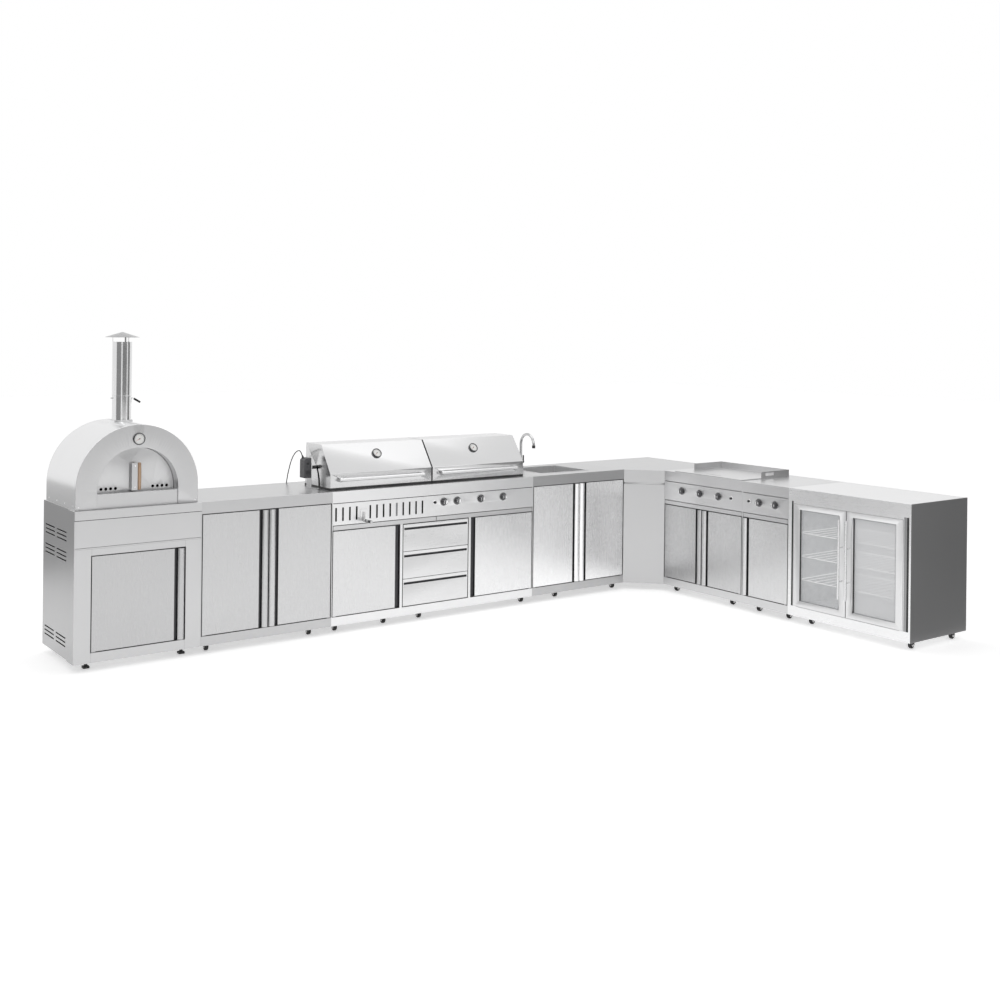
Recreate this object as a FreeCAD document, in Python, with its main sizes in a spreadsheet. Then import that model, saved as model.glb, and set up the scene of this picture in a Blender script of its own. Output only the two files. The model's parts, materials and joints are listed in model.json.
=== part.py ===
import FreeCAD, Part
import math
import os
import Sketcher

# An L-shaped outdoor kitchen of stainless steel modules on castors.
# The long wing runs left to right and faces -Y: pizza oven on its stand, storage cabinet, twin-hood grill,
# sink cabinet. A corner cabinet with a 45 degree face turns the run. The short wing runs towards -Y and
# faces -X: griddle, side burner and glass-door fridge.
# Every module is drawn in wing coordinates: x along the front from left to right, y from the front plane
# back into the cabinet, z up from the floor. A wing placement then carries it into the row frame.

os.makedirs("parts", exist_ok=True)
doc = FreeCAD.newDocument("OutdoorKitchen")
sheet = doc.addObject("Spreadsheet::Sheet", "Dims")


class Size:
    """A length that carries its number and the spreadsheet formula it stands for."""

    def __init__(self, value, text):
        self.value = value
        self.text = text

    def __add__(self, other):
        return joined(self, other, "+")

    def __radd__(self, other):
        return joined(other, self, "+")

    def __sub__(self, other):
        return joined(self, other, "-")

    def __rsub__(self, other):
        return joined(other, self, "-")

    def __mul__(self, other):
        return joined(self, other, "*")

    def __rmul__(self, other):
        return joined(other, self, "*")

    def __truediv__(self, other):
        return joined(self, other, "/")

    def __neg__(self):
        return joined(0, self, "-")


def number(length):
    """The plain number behind a length."""
    return length.value if isinstance(length, Size) else length


def formula(length):
    """The spreadsheet formula behind a length."""
    return length.text if isinstance(length, Size) else repr(float(length))


def joined(first, second, sign):
    """Two lengths joined by one arithmetic sign, as a number and as a formula."""
    a, b = number(first), number(second)
    value = {"+": a + b, "-": a - b, "*": a * b}[sign] if sign != "/" else a / b
    return Size(value, f"({formula(first)} {sign} {formula(second)})")


def diagonal(first, second):
    """The distance across two lengths at right angles."""
    value = math.hypot(number(first), number(second))
    a, b = formula(first), formula(second)
    return Size(value, f"sqrt({a} * {a} + {b} * {b})")


def side_of(longest, other):
    """The second short side of a right triangle."""
    value = math.sqrt(number(longest) ** 2 - number(other) ** 2)
    a, b = formula(longest), formula(other)
    return Size(value, f"sqrt({a} * {a} - {b} * {b})")


size_rows = []


def size(name, value):
    """Put one driving dimension in the spreadsheet and give it back as a Size."""
    size_rows.append(name)
    row = len(size_rows)
    sheet.set(f"A{row}", name)
    sheet.set(f"B{row}", str(value))
    sheet.setAlias(f"B{row}", name)
    return Size(value, f"Dims.{name}")


def bind(item, prop, length):
    """Tie one property of an object to a formula."""
    item.setExpression(prop, formula(length))


def at(item, x, y, z):
    """Tie an object's position to three lengths."""
    for axis, length in zip("xyz", (x, y, z)):
        bind(item, f"Placement.Base.{axis}", length)
    return item


def block(x0, x1, y0, y1, z0, z1):
    """A box between two corners."""
    item = doc.addObject("Part::Box", "Block")
    bind(item, "Length", x1 - x0)
    bind(item, "Width", y1 - y0)
    bind(item, "Height", z1 - z0)
    return at(item, x0, y0, z0)


TURNS = {
    "x": FreeCAD.Rotation(FreeCAD.Vector(0, 1, 0), 90),
    "y": FreeCAD.Rotation(FreeCAD.Vector(1, 0, 0), -90),
    "z": FreeCAD.Rotation(),
}


def rod(axis, x, y, z, radius, length):
    """A cylinder that starts at a point and runs along one axis."""
    item = doc.addObject("Part::Cylinder", "Rod")
    item.Placement = FreeCAD.Placement(FreeCAD.Vector(), TURNS[axis])
    bind(item, "Radius", radius)
    bind(item, "Height", length)
    return at(item, x, y, z)


def many_sided(axis, x, y, z, radius, length, sides):
    """A prism with flats round it, for turned and moulded pieces that repeat or lie out of sight."""
    item = doc.addObject("Part::Prism", "Flats")
    item.Polygon = sides
    item.Placement = FreeCAD.Placement(FreeCAD.Vector(), TURNS[axis])
    bind(item, "Circumradius", radius)
    bind(item, "Height", length)
    return at(item, x, y, z)


def cone(axis, x, y, z, radius, end_radius, length):
    """A round piece that narrows or widens from one end to the other."""
    item = doc.addObject("Part::Cone", "Cone")
    item.Placement = FreeCAD.Placement(FreeCAD.Vector(), TURNS[axis])
    bind(item, "Radius1", radius)
    bind(item, "Radius2", end_radius)
    bind(item, "Height", length)
    return at(item, x, y, z)


def fuse(*items):
    """Several shapes welded into one solid."""
    item = doc.addObject("Part::MultiFuse", "Weldment")
    item.Shapes = list(items)
    item.Refine = True
    return item


def cut(base, *tools):
    """A shape with pockets taken out of it."""
    item = doc.addObject("Part::Cut", "Trimmed")
    item.Base = base
    item.Tool = tools[0] if len(tools) == 1 else together(*tools)
    item.Refine = True
    return item


def common(first, second):
    """The space that two shapes share."""
    item = doc.addObject("Part::Common", "Shared")
    item.Base = first
    item.Tool = second
    return item


def together(*items):
    """Separate solids kept in one group."""
    item = doc.addObject("Part::Compound", "Group")
    item.Links = list(items)
    return item


def plane_of(body, role):
    """One of a body's own origin planes."""
    return next(f for f in body.Origin.OriginFeatures if f.Role == role)


def sketch_on(body, role, offset=0):
    """An empty sketch on one of a body's origin planes, lifted off it by an offset."""
    sketch = body.newObject("Sketcher::SketchObject", "Outline")
    sketch.AttachmentSupport = [(plane_of(body, role), "")]
    sketch.MapMode = "FlatFace"
    bind(sketch, "AttachmentOffset.Base.z", offset)
    return sketch


def pin_point(sketch, geometry, end, x, y):
    """Fix one end of a sketch line at two lengths from the origin."""
    for kind, length in (("DistanceX", x), ("DistanceY", y)):
        if abs(number(length)) < 1e-9:
            axis = -2 if kind == "DistanceX" else -1
            sketch.addConstraint(Sketcher.Constraint("PointOnObject", geometry, end, axis))
            continue
        row = sketch.addConstraint(Sketcher.Constraint(kind, -1, 1, geometry, end, number(length)))
        bind(sketch, f"Constraints[{row}]", length)


def draw_polygon(sketch, corners):
    """A closed outline of straight edges through the given corners."""
    points = [FreeCAD.Vector(number(x), number(y), 0) for x, y in corners]
    for start, end in zip(points, points[1:] + points[:1]):
        sketch.addGeometry(Part.LineSegment(start, end), False)
    count = len(points)
    for edge in range(count):
        sketch.addConstraint(Sketcher.Constraint("Coincident", edge, 2, (edge + 1) % count, 1))
        pin_point(sketch, edge, 1, *corners[edge])


def draw_arch(sketch, middle, half, base, spring):
    """A round-headed arch: a flat base, two upright legs and a half circle on top."""
    left, right = middle - half, middle + half
    corners = [(left, base), (right, base), (right, spring), (left, spring)]
    points = [FreeCAD.Vector(number(x), number(y), 0) for x, y in corners]
    head = Part.Circle(FreeCAD.Vector(number(middle), number(spring), 0), FreeCAD.Vector(0, 0, 1), number(half))
    sketch.addGeometry(Part.LineSegment(points[0], points[1]), False)
    sketch.addGeometry(Part.LineSegment(points[1], points[2]), False)
    sketch.addGeometry(Part.ArcOfCircle(head, 0, math.pi), False)
    sketch.addGeometry(Part.LineSegment(points[3], points[0]), False)
    for first, second in ((0, 1), (1, 2), (2, 3), (3, 0)):
        sketch.addConstraint(Sketcher.Constraint("Coincident", first, 2, second, 1))
    pin_point(sketch, 0, 1, *corners[0])
    pin_point(sketch, 1, 1, *corners[1])
    pin_point(sketch, 1, 2, *corners[2])
    sketch.addConstraint(Sketcher.Constraint("Vertical", 3))
    row = sketch.addConstraint(Sketcher.Constraint("DistanceY", -1, 1, 2, 3, number(spring)))
    bind(sketch, f"Constraints[{row}]", spring)


def pad(body, sketch, length, reverse=False):
    """Push a sketch out into solid."""
    feature = body.newObject("PartDesign::Pad", "Pad")
    feature.Profile = sketch
    bind(feature, "Length", length)
    feature.Reversed = reverse
    return feature


def pocket(body, sketch, length, reverse=False):
    """Push a sketch into solid as a pocket."""
    feature = body.newObject("PartDesign::Pocket", "Pocket")
    feature.Profile = sketch
    bind(feature, "Length", length)
    feature.Reversed = reverse
    return feature


def new_body():
    """An empty part design body."""
    return doc.addObject("PartDesign::Body", "Body")


def extruded(role, corners, offset, length):
    """A body padded from one polygon; the pad runs along the plane's own normal."""
    body = new_body()
    sketch = sketch_on(body, role, offset)
    draw_polygon(sketch, corners)
    pad(body, sketch, length)
    return body


# Overall sizes of the run
depth = size("cabinet_depth", 610)
top_height = size("worktop_height", 920)
edge_height = size("worktop_edge_height", 75)
plinth_top = size("plinth_top_height", 110)
plinth_bottom = size("plinth_clearance", 50)
stand_width = size("oven_stand_width", 760)
storage_width = size("storage_width", 890)
grill_width = size("grill_width", 1650)
sink_width = size("sink_width", 890)
corner_cut = size("corner_face_setback", 220)
griddle_width = size("griddle_width", 790)
burner_width = size("side_burner_width", 420)
fridge_width = size("fridge_width", 970)

# Sheet metal and clearances that every module shares
skin = size("sheet_thickness", 3)
wall = size("side_wall", 6)
reveal = size("door_reveal", 3)
door_thick = size("door_thickness", 18)
seat = size("seat_clearance", 0.3)
bar_width = size("door_bar_width", 46)
bar_proud = size("door_bar_proud", 14)
pull_width = size("door_pull_width", 18)
pull_depth = size("door_pull_depth", 12)
slim_pull_width = size("slim_pull_width", 32)

# Stations along the long wing, left end of each module
sink_left = -corner_cut - sink_width
grill_left = sink_left - grill_width
grill_right = sink_left
storage_left = grill_left - storage_width
stand_left = storage_left - stand_width
# Stations along the short wing
burner_left = corner_cut + griddle_width
fridge_left = burner_left + burner_width
fridge_right = fridge_left + fridge_width

# Heights that the modules share
edge_bottom = top_height - edge_height
panel_height = size("control_panel_height", 140)
gap_line = size("panel_gap_line", 4)
tray_front_height = size("drip_tray_front_height", 28)
panel_top = edge_bottom - gap_line
panel_bottom = panel_top - panel_height
tray_top = panel_bottom - gap_line
tray_bottom = tray_top - tray_front_height
deck_top = tray_bottom - seat
deck_bottom = deck_top - skin
floor_top = plinth_top
floor_bottom = plinth_top - skin

# The row frame stands at the middle of the kitchen's footprint, on the floor
shift_x = -(stand_left + depth) / 2
shift_y = (fridge_right - depth) / 2
WINGS = {"long": FreeCAD.Rotation(), "short": FreeCAD.Rotation(FreeCAD.Vector(0, 0, 1), -90)}

sub_parts = []


def sub_part(label, item, wing="long"):
    """Name a finished piece and carry it from wing coordinates into the row frame."""
    if item.TypeId in ("Part::Box", "Part::Cylinder", "Part::Prism"):
        item = together(item)
    item.Label = label
    item.Placement = FreeCAD.Placement(FreeCAD.Vector(), WINGS[wing])
    at(item, shift_x, shift_y, 0)
    sub_parts.append(item)
    return item


def carcass(left, right, bay_top):
    """A module's blank with its bay, its plinth and the space under its worktop hollowed out."""
    blank = block(left, right, 0, depth, plinth_bottom, top_height)
    bay = block(left + wall, right - wall, -wall, depth - wall, floor_top, bay_top)
    under_top = block(left + wall, right - wall, wall, depth - wall, bay_top - skin, top_height - skin)
    plinth = block(left + wall, right - wall, wall, depth - wall, 0, floor_bottom)
    return blank, [bay, under_top, plinth]


pad_length = size("pivot_pad_length", 24)


def pivot_pad(hinge, side, bottom):
    """The pad under a door's hinge corner; side is +1 for a door that runs to the right of it."""
    x0, x1 = (hinge, hinge + pad_length) if side > 0 else (hinge - pad_length, hinge)
    return block(x0, x1, 0, door_thick, bottom - reveal - skin, bottom - seat)


def bar_door(label, hinge, free, bottom, top, wing="long", bar_width=bar_width):
    """A door whose free edge is rolled into a full-height half-round pull bar."""
    side = 1 if number(free) > number(hinge) else -1
    bar_inner = free - side * bar_width
    pull_inner = bar_inner - side * pull_width
    spans = {}
    for name, a, b in (("panel", hinge, pull_inner), ("back", pull_inner, free), ("bar", bar_inner, free)):
        spans[name] = (a, b) if side > 0 else (b, a)
    panel = block(*spans["panel"], 0, door_thick, bottom, top)
    back = block(*spans["back"], pull_depth, door_thick, bottom, top)
    round_bar = rod("z", free - side * bar_width / 2, bar_width / 2 - bar_proud, bottom, bar_width / 2, top - bottom)
    bar = common(round_bar, block(*spans["bar"], -bar_proud, door_thick, bottom, top))
    return sub_part(label, fuse(panel, back, bar), wing)


def flush_door(label, hinge, free, bottom, top, wing="long"):
    """A door whose free edge steps back to leave a dark finger pull."""
    side = 1 if number(free) > number(hinge) else -1
    pull_inner = free - side * slim_pull_width
    x0, x1 = (hinge, free) if side > 0 else (free, hinge)
    pull0, pull1 = (pull_inner, free) if side > 0 else (free, pull_inner)
    slab = block(x0, x1, 0, door_thick, bottom, top)
    pull = block(pull0 - wall * (side < 0), pull1 + wall * (side > 0), -wall, pull_depth, bottom - wall, top + wall)
    return sub_part(label, cut(slab, pull), wing)


door_bottom = floor_top + reveal
tall_door_top = edge_bottom - reveal
low_door_top = deck_bottom - reveal

# Storage cabinet and corner cabinet
storage_right = grill_left
storage_middle = (storage_left + storage_right) / 2
storage_hinges = (storage_left + wall + reveal, storage_right - wall - reveal)
blank, hollows = carcass(storage_left, storage_right, edge_bottom)
storage_pads = [pivot_pad(storage_hinges[0], 1, door_bottom), pivot_pad(storage_hinges[1], -1, door_bottom)]
storage_cabinet = fuse(cut(blank, *hollows), *storage_pads)
bar_door("storage_left_door", storage_hinges[0], storage_middle - reveal / 2, door_bottom, tall_door_top)
bar_door("storage_right_door", storage_hinges[1], storage_middle + reveal / 2, door_bottom, tall_door_top)

groove_depth = size("corner_groove_depth", 8)
groove_height = size("corner_groove_height", 16)
groove_drop = size("corner_groove_drop", 36)
corner_body = new_body()
corner_sketch = sketch_on(corner_body, "XY_Plane", plinth_bottom)
draw_polygon(
    corner_sketch,
    [(-corner_cut, 0), (0, -corner_cut), (depth, -corner_cut), (depth, depth), (-corner_cut, depth)],
)
pad(corner_body, corner_sketch, top_height - plinth_bottom)
groove_sketch = sketch_on(corner_body, "XY_Plane", edge_bottom - groove_drop + groove_height)
draw_polygon(
    groove_sketch,
    [
        (-corner_cut - groove_depth, 0),
        (0, -corner_cut - groove_depth),
        (groove_depth, -corner_cut),
        (-corner_cut, groove_depth),
    ],
)
pocket(corner_body, groove_sketch, groove_height)
inside_sketch = sketch_on(corner_body, "XY_Plane", top_height - skin)
inner_corner = wall - corner_cut
bevel = size("corner_inner_bevel", 16)
draw_polygon(
    inside_sketch,
    [
        (inner_corner, bevel),
        (bevel, inner_corner),
        (depth - wall, inner_corner),
        (depth - wall, depth - wall),
        (inner_corner, depth - wall),
    ],
)
pocket(corner_body, inside_sketch, top_height - skin - floor_top)
under_sketch = sketch_on(corner_body, "XY_Plane", floor_bottom)
draw_polygon(
    under_sketch,
    [
        (inner_corner, bevel),
        (bevel, inner_corner),
        (depth - wall, inner_corner),
        (depth - wall, depth - wall),
        (inner_corner, depth - wall),
    ],
)
pocket(corner_body, under_sketch, floor_bottom - plinth_bottom)
sub_part("storage_cabinets", together(storage_cabinet, corner_body))

# Oven stand: a front frame that wraps round the sides, a louvred body behind it and one door
stand_right = storage_left
stand_post = size("stand_post_width", 100)
stand_wrap = size("stand_frame_wrap", 120)
stand_inset = size("stand_side_inset", 8)
apron_height = size("stand_apron_height", 135)
apron_step = size("stand_apron_step", 2)
stand_rail = size("stand_top_rail", 50)
vent_length = size("vent_length", 180)
vent_height = size("vent_height", 8)
vent_pitch = size("vent_pitch", 24)
vent_first = size("vent_first_column", 165)
vent_second = size("vent_second_column", 385)
VENT_LEVELS = [size("upper_vent_level", 728), size("middle_vent_level", 612), size("lower_vent_level", 118)]
VENT_ROWS = 3
stand_open_left = stand_left + stand_post
stand_open_right = stand_right - stand_post
stand_open_top = edge_bottom - apron_height - stand_rail
stand_inner = stand_left + stand_inset + skin
front_frame = block(stand_left, stand_right, 0, stand_wrap, plinth_bottom, top_height)
rear_body = block(stand_left + stand_inset, stand_right - stand_inset, stand_wrap, depth, plinth_bottom, top_height)
mouth = block(stand_open_left, stand_open_right, -skin, stand_wrap, floor_top, stand_open_top)
room = block(
    stand_inner, stand_right - stand_inset - skin, door_thick + wall, depth - skin, floor_top, top_height - skin
)
stand_plinth = block(
    stand_inner, stand_right - stand_inset - skin, wall, depth - skin, 0, floor_bottom
)
frame_line = block(
    stand_left + skin, stand_right - skin, -skin, apron_step, edge_bottom - apron_height - apron_step,
    edge_bottom - apron_height
)
vents = []
for level in VENT_LEVELS:
    for row in range(VENT_ROWS):
        for column in (vent_first, vent_second):
            vent_bottom = level + vent_pitch * row
            vents.append(
                block(
                    stand_left, stand_inner + skin, column, column + vent_length, vent_bottom, vent_bottom + vent_height
                )
            )
stand_hinge = stand_open_left + reveal
stand_blank = cut(fuse(front_frame, rear_body), mouth, room, stand_plinth, frame_line, *vents)
sub_part("oven_stand", fuse(stand_blank, pivot_pad(stand_hinge, 1, door_bottom)))
bar_door("stand_door", stand_hinge, stand_open_right - reveal, door_bottom, stand_open_top - reveal)

# Pizza oven: an insulated arch with a tunnel mouth, a chamber and a flue collar
oven_half = size("oven_half_width", 367)
oven_leg = size("oven_leg_height", 113)
oven_front = size("oven_front_setback", 30)
oven_length = size("oven_length", 550)
sill_height = size("oven_sill_height", 85)
sill_step = size("oven_sill_step", 8)
opening_half = size("oven_opening_half_width", 242)
opening_leg = size("oven_opening_leg", 18)
tunnel_depth = size("oven_tunnel_depth", 82)
mouth_lip = size("oven_mouth_lip", 18)
mouth_depth = size("oven_mouth_depth", 20)
chamber_half = size("oven_chamber_half_width", 290)
chamber_length = size("oven_chamber_length", 400)
flue_radius = size("flue_radius", 57.5)
flue_wall = size("flue_wall", 2)
flue_setback = size("flue_setback", 330)
collar_radius = size("flue_collar_radius", 66)
collar_height = size("flue_collar_height", 10)
oven_middle = (stand_left + stand_right) / 2
sill = top_height + sill_height
oven_top = top_height + oven_leg + oven_half
collar_top = oven_top + collar_height
tunnel_end = oven_front + tunnel_depth
chamber_start = tunnel_end + mouth_depth

oven_body = new_body()
arch = sketch_on(oven_body, "XZ_Plane", -oven_front)
draw_arch(arch, oven_middle, oven_half, top_height, top_height + oven_leg)
pad(oven_body, arch, oven_length, reverse=True)
tunnel = sketch_on(oven_body, "XZ_Plane", -oven_front)
draw_arch(tunnel, oven_middle, opening_half, sill, sill + opening_leg)
pocket(oven_body, tunnel, tunnel_depth)
mouth_arch = sketch_on(oven_body, "XZ_Plane", -tunnel_end)
draw_arch(mouth_arch, oven_middle, opening_half - mouth_lip, sill, sill + opening_leg)
pocket(oven_body, mouth_arch, mouth_depth)
chamber = sketch_on(oven_body, "XZ_Plane", -chamber_start)
draw_arch(chamber, oven_middle, chamber_half, sill, sill + opening_leg)
pocket(oven_body, chamber, chamber_length)
sill_panel = block(
    oven_middle - opening_half, oven_middle + opening_half, 0, oven_front + sill_step, top_height, sill
)
collar = rod("z", oven_middle, flue_setback, oven_top - collar_height, collar_radius, 2 * collar_height)
flue_bore = rod("z", oven_middle, flue_setback, sill + opening_leg, flue_radius - flue_wall, oven_half)
gauge_radius = size("oven_gauge_radius", 36)
gauge_thick = size("oven_gauge_thickness", 10)
gauge_drop = size("oven_gauge_drop", 84)
gauge = rod("y", oven_middle, oven_front - gauge_thick, oven_top - gauge_drop, gauge_radius, gauge_thick)
sub_part("oven_shell", together(cut(fuse(oven_body, collar), flue_bore, sill_panel), gauge))

# Oven door: a loose arched plate with vent holes and a wooden grip on a steel angle
oven_door_thick = size("oven_door_thickness", 12)
oven_door_clear = size("oven_door_clearance", 2)
vent_radius = size("oven_vent_radius", 9)
vent_spacing = size("oven_vent_spacing", 28.5)
vent_inner = size("oven_vent_first", 112)
vent_rise = size("oven_vent_rise", 20)
grip_radius = size("oven_grip_radius", 13)
grip_length = size("oven_grip_length", 160)
grip_rise = size("oven_grip_rise", 8)
grip_stand = size("oven_grip_standoff", 46)
angle_width = size("oven_grip_angle_width", 32)
OVEN_VENTS = 4
VENT_FLATS = 12
GRIP_FLATS = 16
oven_door_front = tunnel_end - oven_door_thick - seat
door_body = new_body()
door_arch = sketch_on(door_body, "XZ_Plane", -oven_door_front)
draw_arch(door_arch, oven_middle, opening_half - oven_door_clear, sill + seat, sill + opening_leg)
pad(door_body, door_arch, oven_door_thick, reverse=True)
door_vents = []
for side in (-1, 1):
    for count in range(OVEN_VENTS):
        vent_x = oven_middle + side * (vent_inner + vent_spacing * count)
        door_vents.append(
            many_sided(
                "y", vent_x, oven_door_front - skin, sill + vent_rise, vent_radius, 2 * oven_door_thick, VENT_FLATS
            )
        )
grip_front = oven_door_front - grip_stand
grip_bottom = sill + grip_rise
angle_side = block(
    oven_middle - angle_width, oven_middle - angle_width + skin, grip_front, oven_door_front, grip_bottom,
    grip_bottom + grip_length
)
angle_face = block(
    oven_middle - angle_width, oven_middle, grip_front, grip_front + skin, grip_bottom, grip_bottom + grip_length
)
grip = many_sided(
    "z", oven_middle + grip_radius, grip_front + grip_radius, grip_bottom, grip_radius, grip_length, GRIP_FLATS
)
grip_clear = cut(grip, block(
    oven_middle - angle_width, oven_middle + skin, grip_front - skin, grip_front + 2 * grip_radius,
    grip_bottom - skin, grip_bottom + grip_length + skin
))
grip_tab = block(
    oven_middle, oven_middle + skin, grip_front, grip_front + 2 * grip_radius, grip_bottom, grip_bottom + grip_length
)
sub_part("oven_door", together(fuse(cut(door_body, *door_vents), angle_side, angle_face, grip_tab), grip_clear))

# Chimney: a polished pipe with a seam ring and a cone cap on three straps
pipe_length = size("chimney_pipe_length", 470)
seam_rise = size("chimney_seam_rise", 140)
seam_height = size("chimney_seam_height", 8)
seam_proud = size("chimney_seam_proud", 1.5)
cap_radius = size("chimney_cap_radius", 100)
cap_gap = size("chimney_cap_gap", 28)
cap_rise = size("chimney_cap_rise", 32)
cap_tip = size("chimney_cap_tip_radius", 4)
strap_half = size("chimney_strap_half_width", 4)
strap_lap = size("chimney_strap_lap", 40)
pipe_top = collar_top + pipe_length
PIPE_FLATS = 36
pipe = many_sided("z", oven_middle, flue_setback, collar_top, flue_radius, pipe_length, PIPE_FLATS)
seam = many_sided(
    "z", oven_middle, flue_setback, collar_top + seam_rise, flue_radius + seam_proud, seam_height, PIPE_FLATS
)
pipe_bore = many_sided(
    "z", oven_middle, flue_setback, collar_top - skin, flue_radius - flue_wall, pipe_length + 2 * skin, PIPE_FLATS
)
cap = cone("z", oven_middle, flue_setback, pipe_top + cap_gap, cap_radius, cap_tip, cap_rise)
straps = []
for turn in (30, 150, 270):
    strap = block(
        flue_radius - flue_wall, flue_radius, -strap_half, strap_half, pipe_top - strap_lap, pipe_top + cap_gap + cap_rise / 3
    )
    strap_group = together(strap)
    strap_group.Placement = FreeCAD.Placement(FreeCAD.Vector(), FreeCAD.Rotation(FreeCAD.Vector(0, 0, 1), turn))
    straps.append(at(strap_group, oven_middle, flue_setback, 0))
damper_radius = size("damper_shaft_radius", 4)
damper_rise = size("damper_rise", 132)
damper_height = collar_top + damper_rise
damper_hole = rod(
    "x", oven_middle - 2 * flue_radius, flue_setback, damper_height, damper_radius + seat, 4 * flue_radius
)
pipe_shell = cut(fuse(pipe, seam), pipe_bore, damper_hole)
sub_part("oven_chimney", fuse(pipe_shell, cap, *straps))

# Flue damper: a butterfly plate on a shaft with a slanted grip
damper_clear = size("damper_plate_clearance", 3)
damper_plate_thick = size("damper_plate_thickness", 2)
damper_grip_radius = size("damper_grip_radius", 7)
damper_grip_length = size("damper_grip_length", 62)
damper_reach = size("damper_shaft_reach", 12)
damper_slope = 120
damper_end = oven_middle + flue_radius + damper_reach
shaft = rod(
    "x", oven_middle - flue_radius - damper_reach, flue_setback, damper_height, damper_radius,
    2 * (flue_radius + damper_reach)
)
BUTTERFLY_FLATS = 24
DAMPER_GRIP_FLATS = 10
butterfly = many_sided(
    "y", oven_middle, flue_setback - damper_plate_thick / 2, damper_height,
    flue_radius - flue_wall - damper_clear, damper_plate_thick, BUTTERFLY_FLATS
)
damper_grip = many_sided(
    "z", damper_end, flue_setback, damper_height, damper_grip_radius, damper_grip_length, DAMPER_GRIP_FLATS
)
damper_grip.Placement = FreeCAD.Placement(
    FreeCAD.Vector(), FreeCAD.Rotation(FreeCAD.Vector(0, 1, 0), damper_slope)
)
at(damper_grip, damper_end - damper_reach / 2, flue_setback, damper_height)
sub_part("flue_damper", fuse(shaft, butterfly, damper_grip))


def cooker_carcass(left, right, bays):
    """A blank with a control panel, a slot for drip trays and the given bays under its deck."""
    cabinet = block(left, right, 0, depth, plinth_bottom, top_height)
    pockets = [block(x0, x1, -wall, depth - wall, floor_top, deck_bottom) for x0, x1 in bays]
    pockets.append(block(left + wall, right - wall, wall, depth - wall, 0, floor_bottom))
    pockets.append(block(left + wall, right - wall, -wall, depth - wall, deck_top, panel_bottom))
    pockets.append(block(left + wall, right - wall, skin, depth - wall, panel_bottom, top_height - skin))
    pockets.append(block(left + wall, right - wall, -wall, skin, panel_top, edge_bottom))
    return cabinet, pockets


tray_length = size("drip_tray_length", 400)
tray_skin = size("drip_tray_skin", 2)


def drip_tray(label, left, right, wing="long"):
    """A shallow pull-out tray behind a narrow front strip."""
    body = block(left, right, 0, tray_length, tray_bottom, tray_top)
    hollow = block(
        left + tray_skin, right - tray_skin, wall, tray_length - tray_skin, tray_bottom + tray_skin, tray_top + skin
    )
    return sub_part(label, cut(body, hollow), wing)


# Controls: knobs on bezels and push buttons
knob_radius = size("knob_radius", 22)
knob_length = size("knob_length", 30)
bezel_radius = size("bezel_radius", 29)
bezel_thick = size("bezel_thickness", 5)
shaft_half = size("knob_shaft_half_width", 3)
shaft_length = size("knob_shaft_length", 30)
shaft_hole = size("knob_shaft_hole_half_width", 5)
button_radius = size("button_radius", 9)
button_length = size("button_length", 12)
button_hole = button_radius + seat
KNOB_FLATS = 24
BEZEL_FLATS = 24
BUTTON_FLATS = 16


def bezel(x, height):
    """The round plate under a knob."""
    return many_sided("y", x, -bezel_thick, height, bezel_radius, bezel_thick, BEZEL_FLATS)


def shaft_bore(x, height, radius):
    """The round hole in the panel that a button or the crank passes through."""
    return rod("y", x, -2 * bezel_thick, height, radius, 4 * bezel_thick)


def stem_hole(x, height):
    """The square hole in the panel that a knob's stem passes through."""
    return block(
        x - shaft_hole, x + shaft_hole, -2 * bezel_thick, 2 * bezel_thick, height - shaft_hole, height + shaft_hole
    )


def knob(label, x, height, wing="long"):
    """A round knob with a square shaft into its valve."""
    back = -bezel_thick - seat
    grip = many_sided("y", x, back - knob_length, height, knob_radius, knob_length, KNOB_FLATS)
    stem = block(
        x - shaft_half, x + shaft_half, back, back + shaft_length, height - shaft_half, height + shaft_half
    )
    return sub_part(label, fuse(grip, stem), wing)


def button(label, x, height, wing="long"):
    """A push button that travels into the panel."""
    cap = many_sided("y", x, -button_length, height, button_radius, button_length + skin, BUTTON_FLATS)
    return sub_part(label, cap, wing)


# Grill module
hood_left_margin = size("hood_left_margin", 16)
hood_right_margin = size("hood_right_margin", 48)
hood_gap = size("hood_gap", 10)
hood_front = size("hood_front_setback", 60)
hood_depth = size("hood_depth", 355)
hood_lift = size("hood_rim_height", 15)
hood_band = size("hood_band_height", 95)
hood_rise = size("hood_slope_rise", 180)
hood_run = size("hood_slope_run", 130)
hood_back_lean = size("hood_back_lean", 15)
well_side = size("firebox_side_inset", 22)
well_front = size("firebox_front_inset", 20)
well_rear = size("firebox_rear_inset", 15)
well_drop = size("firebox_depth", 212)
grate_drop = size("grate_seat_drop", 17)
ledge = size("grate_ledge", 8)
hood_width = (grill_width - hood_left_margin - hood_right_margin - hood_gap) / 2
hood_back = hood_front + hood_depth
hood_bottom = top_height + hood_lift
hood_shoulder = hood_bottom + hood_band
hood_top = hood_shoulder + hood_rise
left_hood_start = grill_left + hood_left_margin
right_hood_start = left_hood_start + hood_width + hood_gap
well_y0 = hood_front + well_front
well_y1 = hood_back - well_rear
well_floor = top_height - well_drop
grate_seat = top_height - grate_drop

drawer_width = size("drawer_bay_width", 537)
divider = size("drawer_bay_divider", 25)
grill_middle = left_hood_start + hood_width + hood_gap / 2
bay_left = grill_middle - drawer_width / 2
bay_right = grill_middle + drawer_width / 2
grill_bays = [
    (grill_left + wall, bay_left - divider),
    (bay_left, bay_right),
    (bay_right + divider, grill_right - wall),
]
grill_hinges = (grill_left + wall + reveal, grill_right - wall - reveal)

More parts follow.
